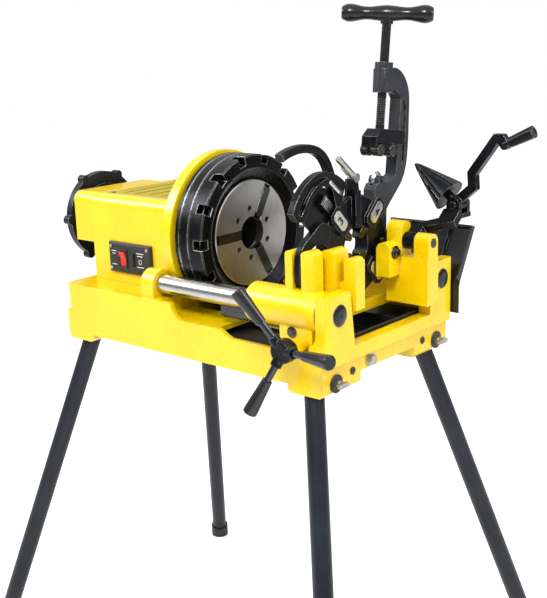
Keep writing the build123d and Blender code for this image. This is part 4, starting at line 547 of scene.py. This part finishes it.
# web behind the curved guard, and the ribbed latch block beside the rod
GUARD_X = 235.0         # middle of the guard's thickness
WEB_THICK = 3.0
WEB_OUTLINE = [(-148, 68), (-120, 43), (-104, 50), (-80, 42), (-60, 78), (-66, 104),
               (-92, 113), (-112, 107), (-130, 90)]
LATCH_PLACE, LATCH_LEAN = (GUARD_X, -88.0, 84.0), (0, 0.72, -0.69)
LATCH_RIBS, RIB_STEP = 5, 4.5
mesh = bmesh.new()
prism(mesh, stand((GUARD_X - 4.5, 0, 0), X_AXIS, (0, 1, 0)), WEB_OUTLINE, WEB_THICK)
matrix = stand(LATCH_PLACE, X_AXIS, LATCH_LEAN)
box_plate(mesh, matrix, 28.0, 19.0, 8.5, 1.5)
for step in range(LATCH_RIBS):
    shift = Matrix.Translation((-9.0 + RIB_STEP * step, 0, 8.3))
    box_plate(mesh, matrix @ shift, 2.2, 15.0, 1.3, 0.5)
finish_piece("die_head_web", mesh, BLACK_CAST, "die_head")

# numbers on the die tags: angle of each tag from the +Y side, in degrees
TAG_ANGLES = ((4, 45), (3, 135), (2, 225), (1, 315))
TAG_REACH = 73.0
TEXT_SIZE, TEXT_THICK, TEXT_WEIGHT = 0.021, 0.0003, 0.0004      # metres
for number, angle in TAG_ANGLES:
    turn = math.radians(angle)
    outward = Vector((0.0, math.cos(turn), math.sin(turn)))
    sideways = outward.cross(Vector(X_AXIS))
    data = bpy.data.curves.new(f"die_number_{number}", "FONT")
    data.body = str(number)
    data.align_x = "CENTER"
    data.align_y = "CENTER"
    data.size = TEXT_SIZE
    data.extrude = TEXT_THICK
    data.offset = TEXT_WEIGHT
    data.materials.append(NUMBER_INK)
    digit = bpy.data.objects.new(f"die_number_{number}", data)
    spot = outward * TAG_REACH + Vector((tag_face + 0.25, 0, 0))
    facing = Matrix((sideways, outward, X_AXIS)).transposed().to_4x4()
    digit.matrix_world = Matrix.Translation(spot * MM) @ facing
    bpy.context.scene.collection.objects.link(digit)
    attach(digit, "die_head")

# raised cooling ribs round the motor
RIB_COUNT, RIB_MIDDLE = 30, 66.0        # RIB_MIDDLE is measured from the motor's -X end
motor_low, motor_high = corners("motor")
motor_y, motor_z = (motor_low.y + motor_high.y) / 2, (motor_low.z + motor_high.z) / 2
motor_r = (motor_high.z - motor_low.z) / 2
mesh = bmesh.new()
for i in range(RIB_COUNT):
    angle = math.radians(i * 12 + 6)
    outward = Vector((0, math.cos(angle), math.sin(angle)))
    spot = Vector((motor_low.x + RIB_MIDDLE, motor_y, motor_z)) + outward * (motor_r - 0.6)
    box_plate(mesh, stand(spot, outward, X_AXIS), 76.0, 3.2, 2.6, 0.9)
finish_piece("motor_ribs", mesh, BLACK_SHEET, "frame")

# ---- floor, light and camera ------------------------------------------------------------------
FLOOR_GLOW = 0.3
FLOOR_REACH = 9         # metres from the middle to each side
floor_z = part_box("leg_feet")[0].z
floor_mesh = bpy.data.meshes.new("floor")
floor_mesh.from_pydata([(x * FLOOR_REACH, y * FLOOR_REACH, floor_z)
                        for x, y in ((-1, -1), (1, -1), (1, 1), (-1, 1))], [], [(0, 1, 2, 3)])
floor = bpy.data.objects.new("floor", floor_mesh)
bpy.context.scene.collection.objects.link(floor)
floor_tree = Tree("floor_paint")
floor_tree.put("Base Color", floor_tree.mix(
    floor_tree.noise(3.0), (0.90, 0.90, 0.90), (0.93, 0.93, 0.93)))
floor_tree.put("Roughness", 0.9)
floor_tree.put("Specular IOR Level", 0.1)
# a faint glow that only the camera sees, so that the floor is nearly white
floor_tree.put("Emission Color", (1.0, 1.0, 1.0, 1.0))
floor_tree.put("Emission Strength", floor_tree.ramp(
    floor_tree.add("ShaderNodeLightPath").outputs["Is Camera Ray"], 0.0, 1.0, 0.0, FLOOR_GLOW))
floor_mesh.materials.append(floor_tree.material)

world = bpy.context.scene.world or bpy.data.worlds.new("studio")
bpy.context.scene.world = world
world.use_nodes = True
tree = world.node_tree
background = tree.nodes["Background"]
background.inputs["Strength"].default_value = 1.0
# white for the camera; the light on the object is bright overhead and dim near the horizon
DOME_LIGHT = (-0.1, 0.8, 0.10, 1.1)     # heights of sky, then the light at each
height = tree.nodes.new("ShaderNodeSeparateXYZ")
tree.links.new(tree.nodes.new("ShaderNodeTexCoord").outputs["Generated"], height.inputs["Vector"])
dome = tree.nodes.new("ShaderNodeMapRange")
for key, number in zip(RANGE_INPUTS, DOME_LIGHT):
    dome.inputs[key].default_value = number
tree.links.new(height.outputs["Z"], dome.inputs["Value"])
seen = tree.nodes.new("ShaderNodeMix")
seen.data_type = "FLOAT"
seen.inputs["B"].default_value = 1.0
rays = tree.nodes.new("ShaderNodeLightPath")
tree.links.new(rays.outputs["Is Camera Ray"], seen.inputs["Factor"])
tree.links.new(dome.outputs["Result"], seen.inputs["A"])
tree.links.new(seen.outputs["Result"], background.inputs["Color"])
bpy.context.scene.view_settings.view_transform = "Standard"


def area_light(name, place, size, watts):
    """A round lamp aimed at the origin."""
    data = bpy.data.lights.new(name, "AREA")
    data.shape = "DISK"
    data.size = size
    data.energy = watts
    lamp = bpy.data.objects.new(name, data)
    lamp.location = place
    lamp.rotation_euler = (-Vector(place)).to_track_quat("-Z", "Y").to_euler()
    bpy.context.scene.collection.objects.link(lamp)


area_light("key", (1.2, -2.2, 2.2), 0.9, 74)
area_light("side", (-2.2, -1.6, 1.6), 1.2, 42)
area_light("rim", (2.4, 0.6, 1.2), 1.2, 24)

# camera fitted to the photo's view
YAW, PITCH, ROLL = 0.733, 0.263, -0.037
CAMERA_PLACE = (1.248008, -1.397537, 0.351360)
camera_data = bpy.data.cameras.new("photo_view")
camera = bpy.data.objects.new("photo_view", camera_data)
bpy.context.scene.collection.objects.link(camera)
level = math.cos(PITCH)
forward = Vector((-math.sin(YAW) * level, math.cos(YAW) * level, -math.sin(PITCH)))
level_right = Vector((math.cos(YAW), math.sin(YAW), 0.0))
level_up = level_right.cross(forward)
right = math.cos(ROLL) * level_right + math.sin(ROLL) * level_up
up = right.cross(forward)
aim = Matrix((right, up, -forward)).transposed().to_4x4()
camera.matrix_world = Matrix.Translation(CAMERA_PLACE) @ aim
camera_data.sensor_width = 36.0
camera_data.lens = 61.81
camera_data.shift_x = 0.0373
camera_data.shift_y = 0.0228
bpy.context.scene.camera = camera
